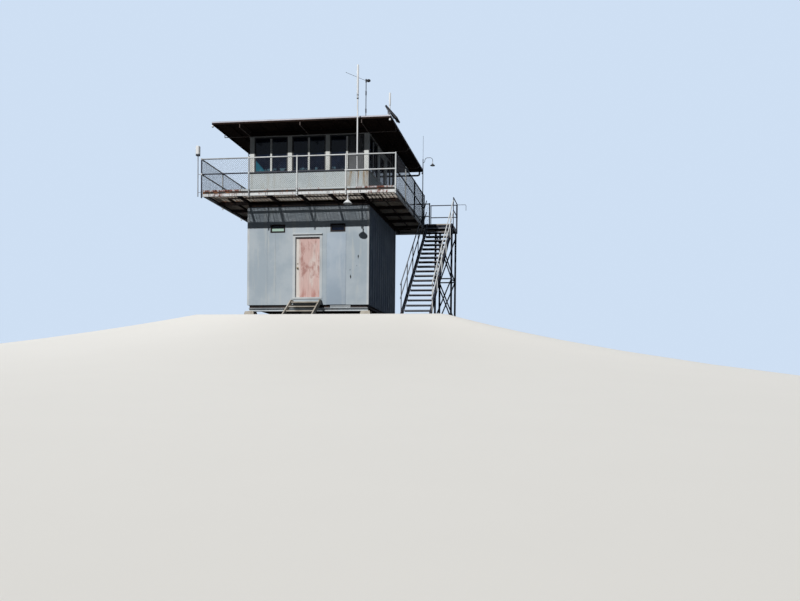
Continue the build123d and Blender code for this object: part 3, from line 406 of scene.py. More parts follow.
def border(wide, tall, rim):
    """The strips of a frame as pairs of corners: two full ones, then two between them."""
    in_wide = wide - rim
    in_tall = tall - rim
    return (
        ((-wide, -tall), (wide, -in_tall)),
        ((-wide, in_tall), (wide, tall)),
        ((-wide, -in_tall), (-in_wide, in_tall)),
        ((in_wide, -in_tall), (wide, in_tall)),
    )


def eased(bm, width):
    """Bevels every edge of a bmesh of boxes."""
    bmesh.ops.bevel(bm, geom=bm.edges[:], offset=width, segments=2, profile=0.6, affect="EDGES")


def round_steps(steps):
    """The cosine and sine of each step of a full turn."""
    angles = [2 * math.pi * step / steps for step in range(steps)]
    return [(math.cos(angle), math.sin(angle)) for angle in angles]


def joined(bm, rings, steps):
    """The faces from each ring of points to the next. A ring may be a single point."""
    faces = []
    for low, high in zip(rings, rings[1:]):
        for step in range(steps):
            nxt = (step + 1) % steps
            corners = [low[step % len(low)], low[nxt % len(low)]]
            corners += [high[nxt % len(high)], high[step % len(high)]]
            unique = list(dict.fromkeys(corners))
            if len(unique) > 2:
                faces.append(bm.faces.new(unique))
    return faces


def lathe(bm, outline, centre, steps=28):
    """Turns an outline of (radius, height) pairs round an upright axis."""
    rings = []
    for radius, height in outline:
        z = centre[2] + height
        around = round_steps(steps) if radius else [(0, 0)]
        places = [(centre[0] + radius * a, centre[1] + radius * b, z) for a, b in around]
        rings.append([bm.verts.new(place) for place in places])
    joined(bm, rings, steps)
    bmesh.ops.recalc_face_normals(bm, faces=bm.faces[:])


def bent_rod(bm, points, radius, sides=8):
    """A closed round rod along a line of points."""
    points = [Vector(point) for point in points]
    side = None
    rings = []
    for index, point in enumerate(points):
        before = points[max(index - 1, 0)]
        after = points[min(index + 1, len(points) - 1)]
        run = (after - before).normalized()
        if side is None:
            side = run.orthogonal().normalized()
        side = (side - run * side.dot(run)).normalized()
        other = run.cross(side)
        places = [point + (side * a + other * b) * radius for a, b in round_steps(sides)]
        rings.append([bm.verts.new(place) for place in places])
    faces = [bm.faces.new(rings[0][::-1]), bm.faces.new(rings[-1])]
    faces += joined(bm, rings, sides)
    bmesh.ops.recalc_face_normals(bm, faces=faces)


# Tones first: base, second, streak and spot. Then the streaks' share, the level where
# spots start, the roughness, how metallic it is, and the depth of the relief
Recipe = namedtuple("Recipe", "base second streak spot streaks spots_from rough metal depth")
recipes = {
    "concrete": (
        (176, 172, 163), (148, 142, 131), (120, 110, 98), (92, 88, 80), 0.5, 0.64, 0.9, 0, 0.004
    ),
    "dark_beam": ((58, 54, 54), (42, 38, 38), (96, 62, 44), (112, 66, 42), 0.45, 0.66, 0.7, 0, 0.001),
    "floor_board": ((128, 108, 86), (104, 86, 68), (84, 68, 52), (66, 54, 44), 0.6, 0.7, 0.75, 0, 0.001),
    "wall_coat": (
        (166, 176, 184), (152, 164, 174), (182, 186, 184), (60, 64, 68), 0.6, 0.71, 0.55, 0, 0.0014
    ),
    "trim_coat": (
        (186, 192, 196), (170, 178, 184), (150, 138, 124), (110, 84, 66), 0.4, 0.74, 0.5, 0, 0.0008
    ),
    "patch_coat": (
        (160, 172, 184), (148, 162, 176), (176, 184, 190), (84, 86, 90), 0.5, 0.74, 0.5, 0, 0.0008
    ),
    "dull_brass": (
        (150, 138, 112), (118, 104, 80), (84, 74, 60), (70, 60, 48), 0.5, 0.66, 0.4, 0.9, 0.0004
    ),
    "dull_steel": (
        (150, 152, 155), (128, 128, 130), (126, 96, 74), (116, 74, 50), 0.4, 0.69, 0.45, 0.6, 0.0005
    ),
    "step_board": (
        (176, 172, 164), (146, 140, 130), (112, 102, 90), (88, 78, 66), 0.7, 0.66, 0.85, 0, 0.002
    ),
    "rail_coat": (
        (214, 218, 220), (196, 200, 203), (150, 116, 92), (124, 74, 50), 0.35, 0.69, 0.45, 0, 0.0006
    ),
    "grate_steel": (
        (178, 174, 168), (148, 142, 134), (132, 98, 74), (128, 76, 50), 0.7, 0.62, 0.7, 0, 0.0006
    ),
    "sash_coat": (
        (206, 209, 208), (188, 192, 191), (150, 146, 134), (96, 90, 82), 0.4, 0.73, 0.5, 0, 0.0006
    ),
    "cab_board": (
        (186, 195, 199), (174, 184, 189), (150, 148, 138), (92, 86, 78), 0.4, 0.71, 0.5, 0, 0.0008
    ),
    "rib_coat": (
        (124, 136, 152), (108, 120, 138), (146, 154, 162), (52, 56, 62), 0.5, 0.72, 0.6, 0, 0.0014
    ),
    "grey_board": (
        (128, 131, 134), (116, 118, 120), (98, 98, 98), (80, 78, 76), 0.5, 0.74, 0.7, 0, 0.0005
    ),
    "roof_sheet": (
        (206, 206, 216), (188, 188, 198), (160, 158, 160), (128, 122, 116), 0.3, 0.7, 0.75, 0, 0.001
    ),
    "soffit_timber": ((44, 34, 30), (30, 23, 21), (62, 46, 38), (18, 15, 15), 0.5, 0.66, 0.85, 0, 0.002),
    "dark_pipe": ((46, 46, 50), (32, 32, 36), (80, 60, 50), (96, 62, 44), 0.3, 0.71, 0.5, 0.4, 0.0004),
    "white_shell": (
        (228, 231, 234), (218, 221, 224), (200, 200, 198), (132, 126, 116), 0.3, 0.76, 0.35, 0, 0.0003
    ),
    "stair_coat": ((44, 48, 60), (34, 38, 48), (104, 76, 58), (120, 78, 54), 0.4, 0.68, 0.5, 0, 0.0006),
    "nosing_steel": (
        (126, 128, 134), (104, 106, 112), (140, 116, 96), (112, 78, 58), 0.4, 0.7, 0.35, 0.5, 0.0006
    ),
    "wire_steel": ((66, 69, 76), (52, 55, 62), (92, 76, 66), (98, 68, 52), 0.4, 0.68, 0.6, 0, 0.0003),
    "strut_steel": ((112, 104, 102), (92, 84, 82), (84, 64, 54), (100, 66, 50), 0.4, 0.7, 0.6, 0, 0.0005),
    "panel_paint": ((24, 27, 38), (18, 20, 28), (44, 46, 54), (70, 60, 56), 0.3, 0.72, 0.5, 0, 0.0003),
    "lead_flashing": (
        (188, 190, 188), (168, 170, 168), (128, 124, 116), (96, 90, 82), 0.5, 0.7, 0.6, 0, 0.0006
    ),
    "bulb_glass": (
        (226, 226, 218), (214, 214, 208), (196, 192, 180), (160, 154, 140), 0.3, 0.78, 0.15, 0, 0.0001
    ),
}


def plain_coat(name):
    """A recipe with nothing laid over it."""
    coat = Coat(name, name)
    recipe = coat.recipe
    if recipe.metal:
        coat.dress(Metallic=recipe.metal * (1 - coat.spots))
    return coat.done(recipe.rough - 0.08, 0.16, 0.25, metal_gloss if recipe.metal else matte)


def edge_coat(coat):
    """White paint with rust runs, worst at the left end and near the right corner, and painted shade,
    near black, in the gap between the toe plate and the channel.
    """
    x, y, z = coat.x, coat.y, coat.z
    runs = coat.noise(26.0, 7.0, (1, 1, 0.2), 0.75, 1.3)
    blots = coat.noise(5.5, 6.0, (1, 1, 1), 0.7, 5.2)
    drip = coat.noise(34.0, 4.0, (1, 1, 0.06), 0.6, 8.4)
    front = y.below(-3.1, -2.9)
    worst = x.below(-2.3, -1.6) * front + x.within(2.05, 2.95, 0.35) * front * 0.9
    upper = z.above(3.99, 4.04)
    level = runs * 0.6 + blots * 0.4 + worst * (0.045 + upper * 0.06)
    rust = level.above(0.545, 0.6)
    left = x.below(-1.9, -1.6) * front
    coat.tone(upper * 0.8, 176, 184, 188)
    coat.tone(rust * 0.92, 128, 80, 68)
    coat.tone(level.above(0.6, 0.66), 84, 50, 40)
    coat.tone(drip.above(0.57, 0.62) * left * 0.8, 66, 44, 38)
    # Painted shade: the gap between the toe plate and the channel is laid near black.
    coat.tone(z.within(3.984, 4.052, 0.003), 10, 10, 13)
    return coat.done(0.42 + rust * 0.4, 0.1, 0.0)


def sash_paint(coat):
    """Pale mullions and head members, with the outer members, the sills, the small windows and the top
    edge under the head trim dark.
    """
    z = coat.z
    along = coat.x.size().least(coat.y.size())
    outer = along.within(0.54, 0.79, 0.004) + along.above(1.88, 1.886)
    sill = z.above(4.9, 4.95) * z.below(5.022, 5.026)
    small_windows = z.below(3.6, 3.8)
    dark = (outer * z.above(4.0, 4.1)).most(sill).most(z.above(6.115, 6.12)).most(small_windows)
    coat.tone(coat.grimy(dark, 0.14).least(1.0), 48, 48, 52)
    return coat.done(0.5, 0.2)


def rail_enamel(coat):
    """White pipes, dark blue at the left of the front, and painted shade in the same dark blue on the
    right side and the landing.
    """
    x, y, z = coat.x, coat.y, coat.z
    lower = 1 - z.above(5.086, 5.092) * 0.55
    middle = z.within(4.6, 4.65, 0.004)
    front = y.below(-3.2, -3.19)
    second_post = x.above(-1.67, -1.66)
    dark = front * lower * (1 - second_post * 0.45 - x.above(-1.6, -1.59) * 0.55)
    dark = dark + front * middle * x.below(1.59, 1.6)
    # Painted shade: the right side's rails and posts, the landing's rails and the guard near it are laid
    # dark blue.
    side = x.within(3.2, 3.3, 0.01) * y.above(-3.23, -3.22)
    side = side * z.above(5.09, 5.095).most(middle).most(y.above(-0.6, -0.5))
    landing = x.above(3.3, 3.32) * y.above(1.98, 2.0)
    near_guard = x.within(3.32, 3.8, 0.02) * 0.8
    dark = (dark + side + (landing + near_guard)).least(1.0)
    coat.tone(coat.grimy(dark, 0.12), 32, 37, 54)
    return coat.done(0.45)


def mast_coat(coat):
    """The weather mast in dark paint, and the pale poles at the roof's corner."""
    coat.tone(coat.grimy(coat.x.below(2.2, 2.3)), 40, 46, 62)
    return coat.done(0.45)


def shell_coat(coat):
    """White plastic, with a dark foot on the housing at the railing's corner."""
    foot = coat.z.below(5.283, 5.287) * coat.x.below(-3.1, -3.0)
    coat.tone(coat.grimy(foot, 0.12), 38, 40, 48)
    return coat.done(0.35, gloss=0.3)


def roof_cover(coat):
    """Pale sheet on top, over a fascia board that is dark below the folded edge."""
    fold_foot = roof_top - roof_fold
    coat.tone(coat.grimy(coat.z.below(fold_foot - 0.001, fold_foot + 0.001)), 34, 28, 26)
    return coat.done(0.7, spots=0.1)


def lamp_enamel(coat):
    """White enamel on the front lamp; the rear one dark, with its crown left white as a painted
    highlight.
    """
    # The rear shade is dark below its crown; the white crown above is a painted highlight.
    rear = coat.y.above(0.0, 0.5) * coat.z.below(6.71, 6.73)
    coat.tone(coat.grimy(rear, 0.12), 44, 46, 52)
    return coat.done(0.35, spots=0.3, gloss=0.4)


def door_coat(coat):
    """Pink-red paint that has faded and worn back to a pale coat."""
    wipe = coat.noise(1.7, 5.0, (1, 1, 0.55), 0.6, 2.2)
    brush = coat.noise(9.0, 7.0, (1, 1, 0.16), 0.7, 4.0)
    patch = coat.noise(3.2, 6.0, (1.2, 1, 0.55), 0.65, 9.1)
    grain = coat.noise(30.0, 5.0, (1, 1, 0.05), 0.7, 11.0)
    chips = coat.noise(26.0, 6.0, (1, 1, 0.8), 0.7, 6.0).above(0.7, 0.73)
    upper = coat.z.within(1.55, 2.5, 0.4)
    worn = (wipe * 0.6 + brush * 0.4).above(0.5, 0.66)
    darker = (patch * 0.6 + brush * 0.4 + upper * 0.045).above(0.53, 0.63)
    hem = coat.z.below(0.75, 1.15) * brush.above(0.42, 0.6)
    left = (coat.x + brush * 0.16).below(-0.27, -0.16)
    coat.tone(worn * 0.75, 208, 204, 200)
    coat.tone(darker * 0.7, 142, 92, 84)
    coat.tone(hem * 0.7, 160, 104, 96)
    coat.tone(grain.above(0.46, 0.7) * 0.45, 150, 128, 124)
    coat.tone(left * 0.85, 206, 205, 200)
    coat.tone(chips, 120, 92, 84)
    normal = coat.relief(brush * 0.6 - chips - darker * 0.3, 0.0012)
    return coat.dress(Roughness=0.55 + worn * 0.2, Specular_IOR_Level=matte, Normal=normal)


def cab_wall_coat(coat):
    """Pale paint under the windows, stained brown on the right of the front."""
    rain = coat.noise(10.0, 6.0, (1, 1, 0.08), 0.7, 8.0)
    speck = coat.noise(38.0, 5.0, (1, 1, 0.8), 0.7, 3.3)
    right = coat.x.above(1.25, 1.5) * coat.y.below(-2.05, -1.9)
    stain = right * (rain * 0.75 + speck * 0.25).above(0.44, 0.58)
    stain = stain * (0.35 + coat.z.above(4.1, 4.95) * 0.65)
    damp = right * (rain * 0.5 + speck * 0.5).above(0.56, 0.62)
    coat.tone(rain.above(0.5, 0.72) * 0.45, 168, 162, 142)
    coat.tone(stain * 0.85, 142, 116, 78)
    coat.tone(damp * 0.7, 70, 60, 48)
    return coat.done(0.5)


def window_pane(pane):
    """Dark glass, clear before the board, with painted light in one small window and painted reflections
    on the front and right panes.
    """
    x, y, z = pane.x, pane.y, pane.z
    dust = pane.noise(5.0, 6.0, (1, 1, 0.4), 0.65)
    front = y.below(-2.0, -1.9)
    # Painted light: a pale patch in one small window of the front wall.
    small_pane_light = x.within(-1.32, -0.85, 0.02) * z.within(2.955, 3.045, 0.012) * front
    lean = x + 1.9 + (z - 5.02) * 0.9
    # Painted reflection: a teal glint across the lower left of the cab's front panes.
    painted_glint = front * (lean + dust * 0.12).below(0.38, 0.44) * z.within(4.9, 5.4, 0.05)
    ledge = front * z.within(4.98, 5.1, 0.02) * dust.above(0.5, 0.56)
    # Painted reflection: blue patches low on the panes of the cab's right side.
    right = x.above(1.95, 2.0) * z.below(5.0, 5.5) * dust.above(0.42, 0.6)
    board = x.within(1.37, 1.95, 0.01) * front * z.above(4.5, 4.6)
    pane.tone(dust.above(0.45, 0.8) * 0.6, 28, 42, 68)
    pane.tone(small_pane_light * 0.9, 168, 196, 184)
    pane.tone(painted_glint * 0.8, 38, 104, 124)
    pane.tone(ledge * 0.6, 88, 118, 132)
    pane.tone(right * 0.8, 62, 104, 140)
    rough = 0.05 + dust * 0.06
    return pane.dress(Roughness=rough, Alpha=0.97 - board * 0.85, Specular_IOR_Level=0.14)


def solar_face(face):
    """Dark cells with thin pale lines between, in a dull frame."""
    turn = (0, math.radians(panel_tilt), 0)
    sockets = {"Vector": face.place, "Location": panel_at, "Rotation": turn}
    laid = face.add("ShaderNodeMapping", sockets, {"vector_type": "TEXTURE"})
    along, across, over = face.parts(laid)
    lines = ((along + 5.0) % 0.0643).above(0.061, 0.0625)
    lines = lines.most(((across + 5.0) % 0.074).above(0.071, 0.0725))
    long, wide = panel_half[0] - panel_rim, panel_half[1] - panel_rim
    inside = along.within(-long, long, 0.003) * across.within(-wide, wide, 0.003)
    inside = inside * over.above(0.0, 0.01)
    dirt = face.noise(14.0, 6.0)
    face.tone(lines * 0.7, 120, 126, 138)
    face.tone(1 - inside, 18, 20, 28)
    face.tone(dirt.above(0.5, 0.8) * 0.3, 70, 66, 60)
    return face.dress(Roughness=0.75 - inside * 0.6, Metallic=0.1 * inside)


def walkway_steel(coat):
    """The deck grating, with its outer band between the white edges painted dark as shade."""
    blots = coat.noise(4.0, 6.0, (1, 1, 1), 0.7, 2.7)
    rim = coat.x.size().most(coat.y.size()).above(deck_half - 0.005, deck_half - 0.002)
    worst = coat.x.below(-2.5, -1.7) * 0.1
    # Painted shade: the grating's outer band, seen in the gap between the white edges, is laid dark.
    coat.tone(coat.grimy(rim), 46, 43, 42)
    coat.tone((blots + worst).above(0.55, 0.68) * 0.75, 140, 92, 62)
    return coat.done(0.7, 0.1, 0.1)


def front_wall_coat(coat):
    """The pale sheet of the front, chipped to its dark primer in a few places."""
    ragged = coat.noise(24.0, 5.0, (1, 1, 0.5), 0.7, 5.5)
    chipped = None
    for x, z, wide, tall in front_chips:
        away = (coat.x - x).size() / wide + (coat.z - z).size() / tall
        near = (away + ragged * 1.6).below(1.5, 1.7)
        chipped = near if chipped is None else chipped.most(near)
    coat.tone(chipped, 52, 54, 56)
    return coat.done(0.5)


# What these finishes are laid over: a recipe, or one plain colour
bases = {
    edge_coat: "rail_coat",
    door_coat: (196, 168, 163),
    cab_wall_coat: "cab_board",
    window_pane: (6, 13, 30),
    solar_face: (20, 26, 44),
    sash_paint: "sash_coat",
    walkway_steel: "grate_steel",
    rail_enamel: "rail_coat",
    mast_coat: "white_shell",
    roof_cover: "roof_sheet",
    shell_coat: "white_shell",
    front_wall_coat: "wall_coat",
    lamp_enamel: "rail_coat",
}
finishes = {name: plain_coat(name) for name in recipes}
for lay_on, base in bases.items():
    kind = Coat if base in recipes else Finish
    finishes[lay_on.__name__] = lay_on(kind(lay_on.__name__, base))

node_finishes = {
    "concrete": "foundation_piers",
    "edge_coat": "deck_edge",
    "dark_beam": "base_frame ring_beams deck_beams",
    "trim_coat": "sill_beams base_vent corner_trims door_frame",
    "floor_board": "room_floor cab_floor",
    "front_wall_coat": "front_wall_left front_wall_right front_wall_at_door",
    "rib_coat": "room_wall_right room_wall_back room_wall_left",
    "door_coat": "lower_door",
    "dull_brass": "door_knobs",
    "dull_steel": "door_hinge_pins door_hinge_leaves radome_pole",
    "strut_steel": "roof_struts",
    "mast_coat": "roof_masts",
    "step_board": "door_steps",
    "sash_coat": "cab_posts window_sills cab_door cab_door_frame",
    "sash_paint": "window_frames",
    "lamp_enamel": "lamp_shades",
    "window_pane": "window_glass",
    "grate_steel": "landing_grating",
    "walkway_steel": "catwalk_grating",
    "rail_enamel": "railing_front railing_back railing_left railing_right stair_rails",
    "cab_wall_coat": "cab_sill_walls",
    "grey_board": "sash_blind",
    "soffit_timber": "roof_frame cab_head",
    "roof_cover": "roof_deck",
    "white_shell": "roof_balls tall_mast",
    "shell_coat": "antennas",
    "dark_pipe": "rear_eave_pipe wind_vane rear_mast",
    "stair_coat": "stair_stringers stair_treads landing_frame landing_legs landing_bracing",
    "solar_face": "solar_panel",
}
for finish_name, members in node_finishes.items():
    for node in members.split():
        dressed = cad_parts[node]
        dressed.data.materials.clear()
        dressed.data.materials.append(finishes[finish_name])

net_maker = wire_net()
row_maker = bar_row()
head_maker = stud_heads()


def bars(count, start, step, size, finish):
    """A mesh of equal bars, each set off from the last by one step."""
    values = {"Count": count, "Start": start, "Step": step, "Size": size}
    return row_maker.grown(values, finish)


def heads(name, places, sides, radius, height, finish, slot, body="tower"):
    """Bolt or screw heads at (point, facing) pairs."""
    start = bpy.data.meshes.new("heads")
    start.from_pydata([point for point, _ in places], [], [])
    facing = start.attributes.new("facing", "FLOAT_VECTOR", "POINT")
    for index, (_, way) in enumerate(places):
        facing.data[index].vector = way
    sizes = {"Sides": sides, "Radius": radius, "Height": height}
    settle(name, head_maker.grown(sizes, finish, start), finish, body, smooth=30)


def post_spots(*last):
    """The railing posts as (side, place along it). The last ones are the right side's own."""
    posts = [(post / 4 * 2 - 1) * rail_line for post in range(5)]
    spots = [(quarter, x) for quarter in (0, 2) for x in posts]
    spots += [(3, x) for x in posts[1:-1]]
    return spots + [(1, x) for x in (posts[1], posts[2], *last)]


def railing_mesh():
    """Diamond mesh behind the rails, from the toe plate to the top rail."""
    line = rail_line - 0.0235
    sizes = {"Height": rail_top - toe_top, "Diamond": 0.07, "Wire": 0.0034}
    for quarter, name in enumerate(("mesh_front", "mesh_right", "mesh_back", "mesh_left")):
        end = landing_front if name == "mesh_right" else rail_line
        made = net_maker.grown({"Length": end + rail_line, **sizes}, "wire_steel")
        start = Matrix.Translation((-rail_line, -line, toe_top))
        made.transform(quarter_turn(quarter) @ start)
        settle(name, made, "wire_steel", smooth=60)


def grating_row(axis, low, high, first, end_gap, pitch, thick, tall, sunk):
    """One row of bars along an axis of a panel, each reaching across the other way."""
    clearance = 0.022
    other = 1 - axis
    start = [0, 0, deck_top - sunk]
    start[axis] = low[axis] + first
    start[other] = (low[other] + high[other]) / 2
    step = [0, 0, 0]
    step[axis] = pitch
    size = [0, 0, tall]
    size[axis] = thick
    size[other] = high[other] - low[other] - clearance
    count = int((high[axis] - low[axis] - end_gap) / pitch)
    return bars(count, start, step, size, "grate_steel")


def grating_infill():
    """The close bearing bars and cross rods between the wide ones of the solids."""
    thick = 0.004
    deep = 0.034
    shallow = 0.011
    pitch = 0.03125
    rod = 0.007
    rod_pitch = 0.1
    gap = cab_half + 0.004
    panels = (
        (1, shallow, (-deck_half, -deck_half), (deck_half, -gap)),
        (0, deep, (-deck_half, gap), (deck_half, deck_half)),
        (1, deep, (-deck_half, -gap), (-gap, gap)),
        (1, deep, (gap, -gap), (deck_half, gap)),
        (1, deep, (landing_side[0], landing_front), (landing_side[1], landing_back)),
    )
    made = []
    for along, tall, low, high in panels:
        sunk = 0.003 + tall / 2
        first = 0.012 + pitch / 2
        made.append(grating_row(along, low, high, first, 0.02, pitch, thick, tall, sunk))
        made.append(grating_row(1 - along, low, high, 0.05, 0.05, rod_pitch, rod, rod, 0.006))
    set_down("grating_infill", gathered(made), "grate_steel")


def post_clamps():
    """Round straps that hold each railing post to the edge channel and the toe plate."""
    bm = bmesh.new()
    reach = post_radius + 0.005
    levels = (beam_foot + 0.022, grating_foot - 0.018, toe_top - 0.03)
    for quarter, x in post_spots(landing_front - post_radius):
        turn = quarter_turn(quarter)
        for level in levels:
            points = [Vector((x - reach, -deck_half, level))]
            for step in range(9):
                angle = math.pi * (1 + step / 8)
                offset = Vector((math.cos(angle), math.sin(angle), 0)) * reach
                points.append(Vector((x, -rail_line, level)) + offset)
            points.append(Vector((x + reach, -deck_half, level)))
            bent_rod(bm, [turn @ point for point in points], 0.005, 6)
    set_down("post_clamps", bm, "dull_steel", smooth=50)


def channel_bolts():
    """Bolt heads on the edge channels, at the beams behind them."""
    edge = 0.03
    places = []
    for quarter in range(4):
        turn = quarter_turn(quarter)
        for x in beam_lines:
            for shift in (-edge, edge):
                for level in (beam_foot + edge, grating_foot - edge):
                    point = Vector((x + shift, -deck_half - 0.003, level))
                    places.append((turn @ point, turn @ frontward))
    heads("channel_bolts", places, 6, 0.013, 0.009, "dark_beam", "bare_steel")


def wall_screws():
    """Screw heads down the seams of the front and the ribs of the other walls."""
    proud = 0.0015
    seam_pitch = 0.288
    rib_screw_pitch = 0.62
    seams = (-2.09, -1.44, -1.40, -1.15, -1.11, 2.09)
    places = []
    for x in seams:
        for row in range(12):
            z = wall_foot + 0.08 + row * seam_pitch
            places.append(((x, -room_half - proud, z), frontward))
    for quarter in (1, 2, 3):
        turn = quarter_turn(quarter)
        for rib in range(rib_count - 1):
            x = (rib - (rib_count - 2) / 2) * rib_pitch
            for row in range(6):
                z = wall_foot + 0.1 + row * rib_screw_pitch
                point = Vector((x, -room_skin - proud, z))
                places.append((turn @ point, turn @ frontward))
    heads("wall_screws", places, 8, 0.007, 0.004, "trim_coat", "trim_paint")


def patch_panel():
    """A later sheet let into the front wall right of the door, with its rivets."""
    low, high = 0.676, 1.344
    top = 2.86
    face = -room_half - 0.006
    bm = bmesh.new()
    slab(bm, (low, face, wall_foot + 0.004), (high, -room_half - hair, top))
    eased(bm, 0.0015)
    set_down("patch_panel", bm, "patch_coat", smooth=30)
    rows = 15
    margin = 0.04
    places = []
    for row in range(rows):
        z = wall_foot + margin + row * (top - wall_foot - 2 * margin) / (rows - 1)
        places += [((x, face - 0.001, z), frontward) for x in (low + 0.02, high - 0.02)]
    heads("patch_rivets", places, 8, 0.006, 0.004, "trim_coat", "trim_paint")


def roof_trim():
    """A folded metal edge round the roof and the laps of the sheet on top."""
    bm = bmesh.new()
    face = roof_half + 0.002
    top = roof_top + 0.003
    for quarter in range(4):
        slab(bm, (-face, -face, roof_top - roof_fold), (face, -face + 0.0016, top), quarter)
        slab(bm, (-face, -face, roof_top + 0.0005), (face, -face + 0.085, top), quarter)
    set_down("roof_trim", bm, "roof_sheet")
    size = (0.06, 2 * roof_half - 0.2, 0.0022)
    laps = bars(5, (-2.0, 0, roof_top + 0.0012), (1.0, 0, 0), size, "roof_sheet")
    settle("roof_laps", laps, "roof_sheet")


def soffit_boards():
    """Boards under the roof between the rafters, with their joints showing."""
    bm = bmesh.new()
    outer = roof_half - 0.045
    board = 0.139
    joint = 0.006
    low = roof_foot + 0.034
    high = roof_foot + 0.0446
    for quarter in range(4):
        for index in range(6):
            near = outer - index * (board + joint)
            reach = near - board - 0.002 if quarter % 2 else near
            slab(bm, (-reach, -near, low), (reach, -near + board, high), quarter)
    set_down("soffit_boards", bm, "soffit_timber")


def lamp_parts():
    """The bulbs, and the collars that hold the shades."""
    bulb = ((0, -1.15), (0.62, -0.86), (0.97, -0.25), (0.93, 0.3), (0.6, 0.85), (0.36, 1.2), (0, 1.25))
    bm = bmesh.new()
    for (x, y, z), size in ((front_lamp, 0.042), (rear_lamp, 0.034)):
        outline = [(size * radius, size * height) for radius, height in bulb]
        lathe(bm, outline, (x, y, z + size * 0.05))
    set_down("lamp_bulbs", bm, "bulb_glass", smooth=60)
    front_collar = ((0.0125, 0), (0.024, 0.004), (0.026, 0.03), (0.02, 0.046), (0.0125, 0.05))
    rear_collar = ((0.0104, 0), (0.017, 0.004), (0.018, 0.024), (0.014, 0.036), (0.0104, 0.038))
    bm = bmesh.new()
    for lamp, foot, outline in ((front_lamp, 3.7535, front_collar), (rear_lamp, 6.7605, rear_collar)):
        lathe(bm, (*outline, outline[0]), (lamp[0], lamp[1], foot))
    set_down("lamp_collars", bm, "dull_steel", smooth=40)


def mast_bands():
    """Dark bands on the tall mast, where its parts meet."""
    inner = 0.0222
    outer = 0.0305
    bm = bmesh.new()
    for foot, tall in ((6.895, 0.07), (7.005, 0.045)):
        outline = ((inner, 0), (outer, 0.003), (outer, tall), (inner, tall + 0.003), (inner, 0))
        lathe(bm, outline, (*mast_at, foot))
    set_down("dark_bands", bm, "dark_pipe", smooth=40)


def antenna_tubes():
    """White tubes over the top of the tall mast and over the stub behind the panel."""
    outer = 0.032
    cap = 0.03
    tubes = ((mast_at, 0.0222, 7.062, 7.995), (stub_at, 0.0252, 6.932, 7.345))
    bm = bmesh.new()
    for place, inner, foot, head in tubes:
        tall = head - foot
        outline = [(inner, 0), (0.03, 0.004), (outer, 0.03), (outer, tall - 0.02)]
        outline += [(0.026, tall - 0.006), (0.012, tall), (0, tall)]
        outline += [(0, tall - cap), (inner, tall - cap), (inner, 0)]
        lathe(bm, outline, (*place, foot), 20)
    set_down("antenna_tubes", bm, "white_shell", smooth=40)


def panel_frame():
    """The deep edge frame round the cells, and the two rails behind them."""
    long, wide, thick = panel_half
    face = thick + hair
    top = thick + 0.026
    bm = bmesh.new()
    for low, high in border(wide, long, panel_rim):
        slab(bm, (low[1], low[0], face), (high[1], high[0], top))
    reach = wide - 0.02
    for place in (0.03, 0.19):
        slab(bm, (place, -reach, -thick - 0.03), (place + 0.035, reach, -thick - hair))
    turn = Matrix.Rotation(math.radians(panel_tilt), 4, "Y")
    bm.transform(Matrix.Translation(panel_at) @ turn)
    set_down("panel_frame", bm, "panel_paint")


def grating_bearers():
    """Angles under the grating, half way between the edge channels and the room."""
    line = 2.63
    half_thick = 0.004
    leg = 0.045
    top = grating_foot - hair
    bm = bmesh.new()
    for quarter in range(4):
        reach = line - 0.052 if quarter % 2 else line
        inside = -line + half_thick
        slab(bm, (-reach, -line - half_thick, top - leg), (reach, inside, top), quarter)
        slab(bm, (-reach, inside, top - 0.006), (reach, -line + leg, top), quarter)
    set_down("grating_bearers", bm, "dark_beam")


def stair_detail():
    """Bright wear strips on the tread nosings, and the bolts that hold the treads."""
    wide = stair_width - 0.004
    rows = [(first_nosing - 0.0022, riser - 0.012, (wide, 0.004, 0.026))]
    for row in range(3):
        rows.append((first_nosing + 0.014 + row * 0.024, riser + 0.0018, (wide, 0.012, 0.0034)))
    strips = []
    for y, z, size in rows:
        start = (stair_mid, y, z)
        strips.append(bars(risers - 1, start, (0, going, riser), size, "nosing_steel"))
    set_down("tread_strips", gathered(strips), "nosing_steel")
    places = []
    for step in range(1, risers):
        y = first_nosing + (step - 0.5) * going
        z = step * riser - 0.02
        for side in (-1, 1):
            x = stair_mid + side * (stair_width / 2 + 0.0535)
            places += [((x, y + shift, z), (side, 0, 0)) for shift in (-0.05, 0.05)]
    heads("tread_bolts", places, 6, 0.008, 0.007, "dull_steel", "bare_steel")


def anchor_bolts():
    """Bolts on the base plates of the landing legs and the masts."""
    seat = 0.0135
    feet = [(x, y, 0, 0.056, 0.056) for x in leg_lines[0] for y in leg_lines[1]]
    feet += [(*place, roof_top, 0.045, 0.042) for place in (vane_mast_at, stub_at)]
    feet += [(*place, deck_top, 0.045, 0.042) for place in deck_plates]
    places = []
    for x, y, z, wide, deep in feet:
        for dx in (-wide, wide):
            places += [((x + dx, y + dy, z + seat), (0, 0, 1)) for dy in (-deep, deep)]
    heads("anchor_bolts", places, 6, 0.009, 0.009, "dull_steel", "bare_steel")


def hinge_screws():
    """Countersunk screws in the hinge plates of the lower door, on the frame and on the door."""
    leaf_face = -2.0203
    plates = (("hinge_screws_frame", 1, "tower"), ("hinge_screws_door", -1, "ground_door"))
    for name, side, body in plates:
        places = []
        for level in hinge_levels:
            middle = level - side * 0.025
            for shift in (-0.014, 0.014):
                for reach in (0.018, 0.034):
                    x = hinge_x + side * reach
                    places.append(((x, leaf_face, middle + shift), (0, 1, 0)))
        heads(name, places, 10, 0.0035, 0.0016, "dull_steel", "bare_steel", body)


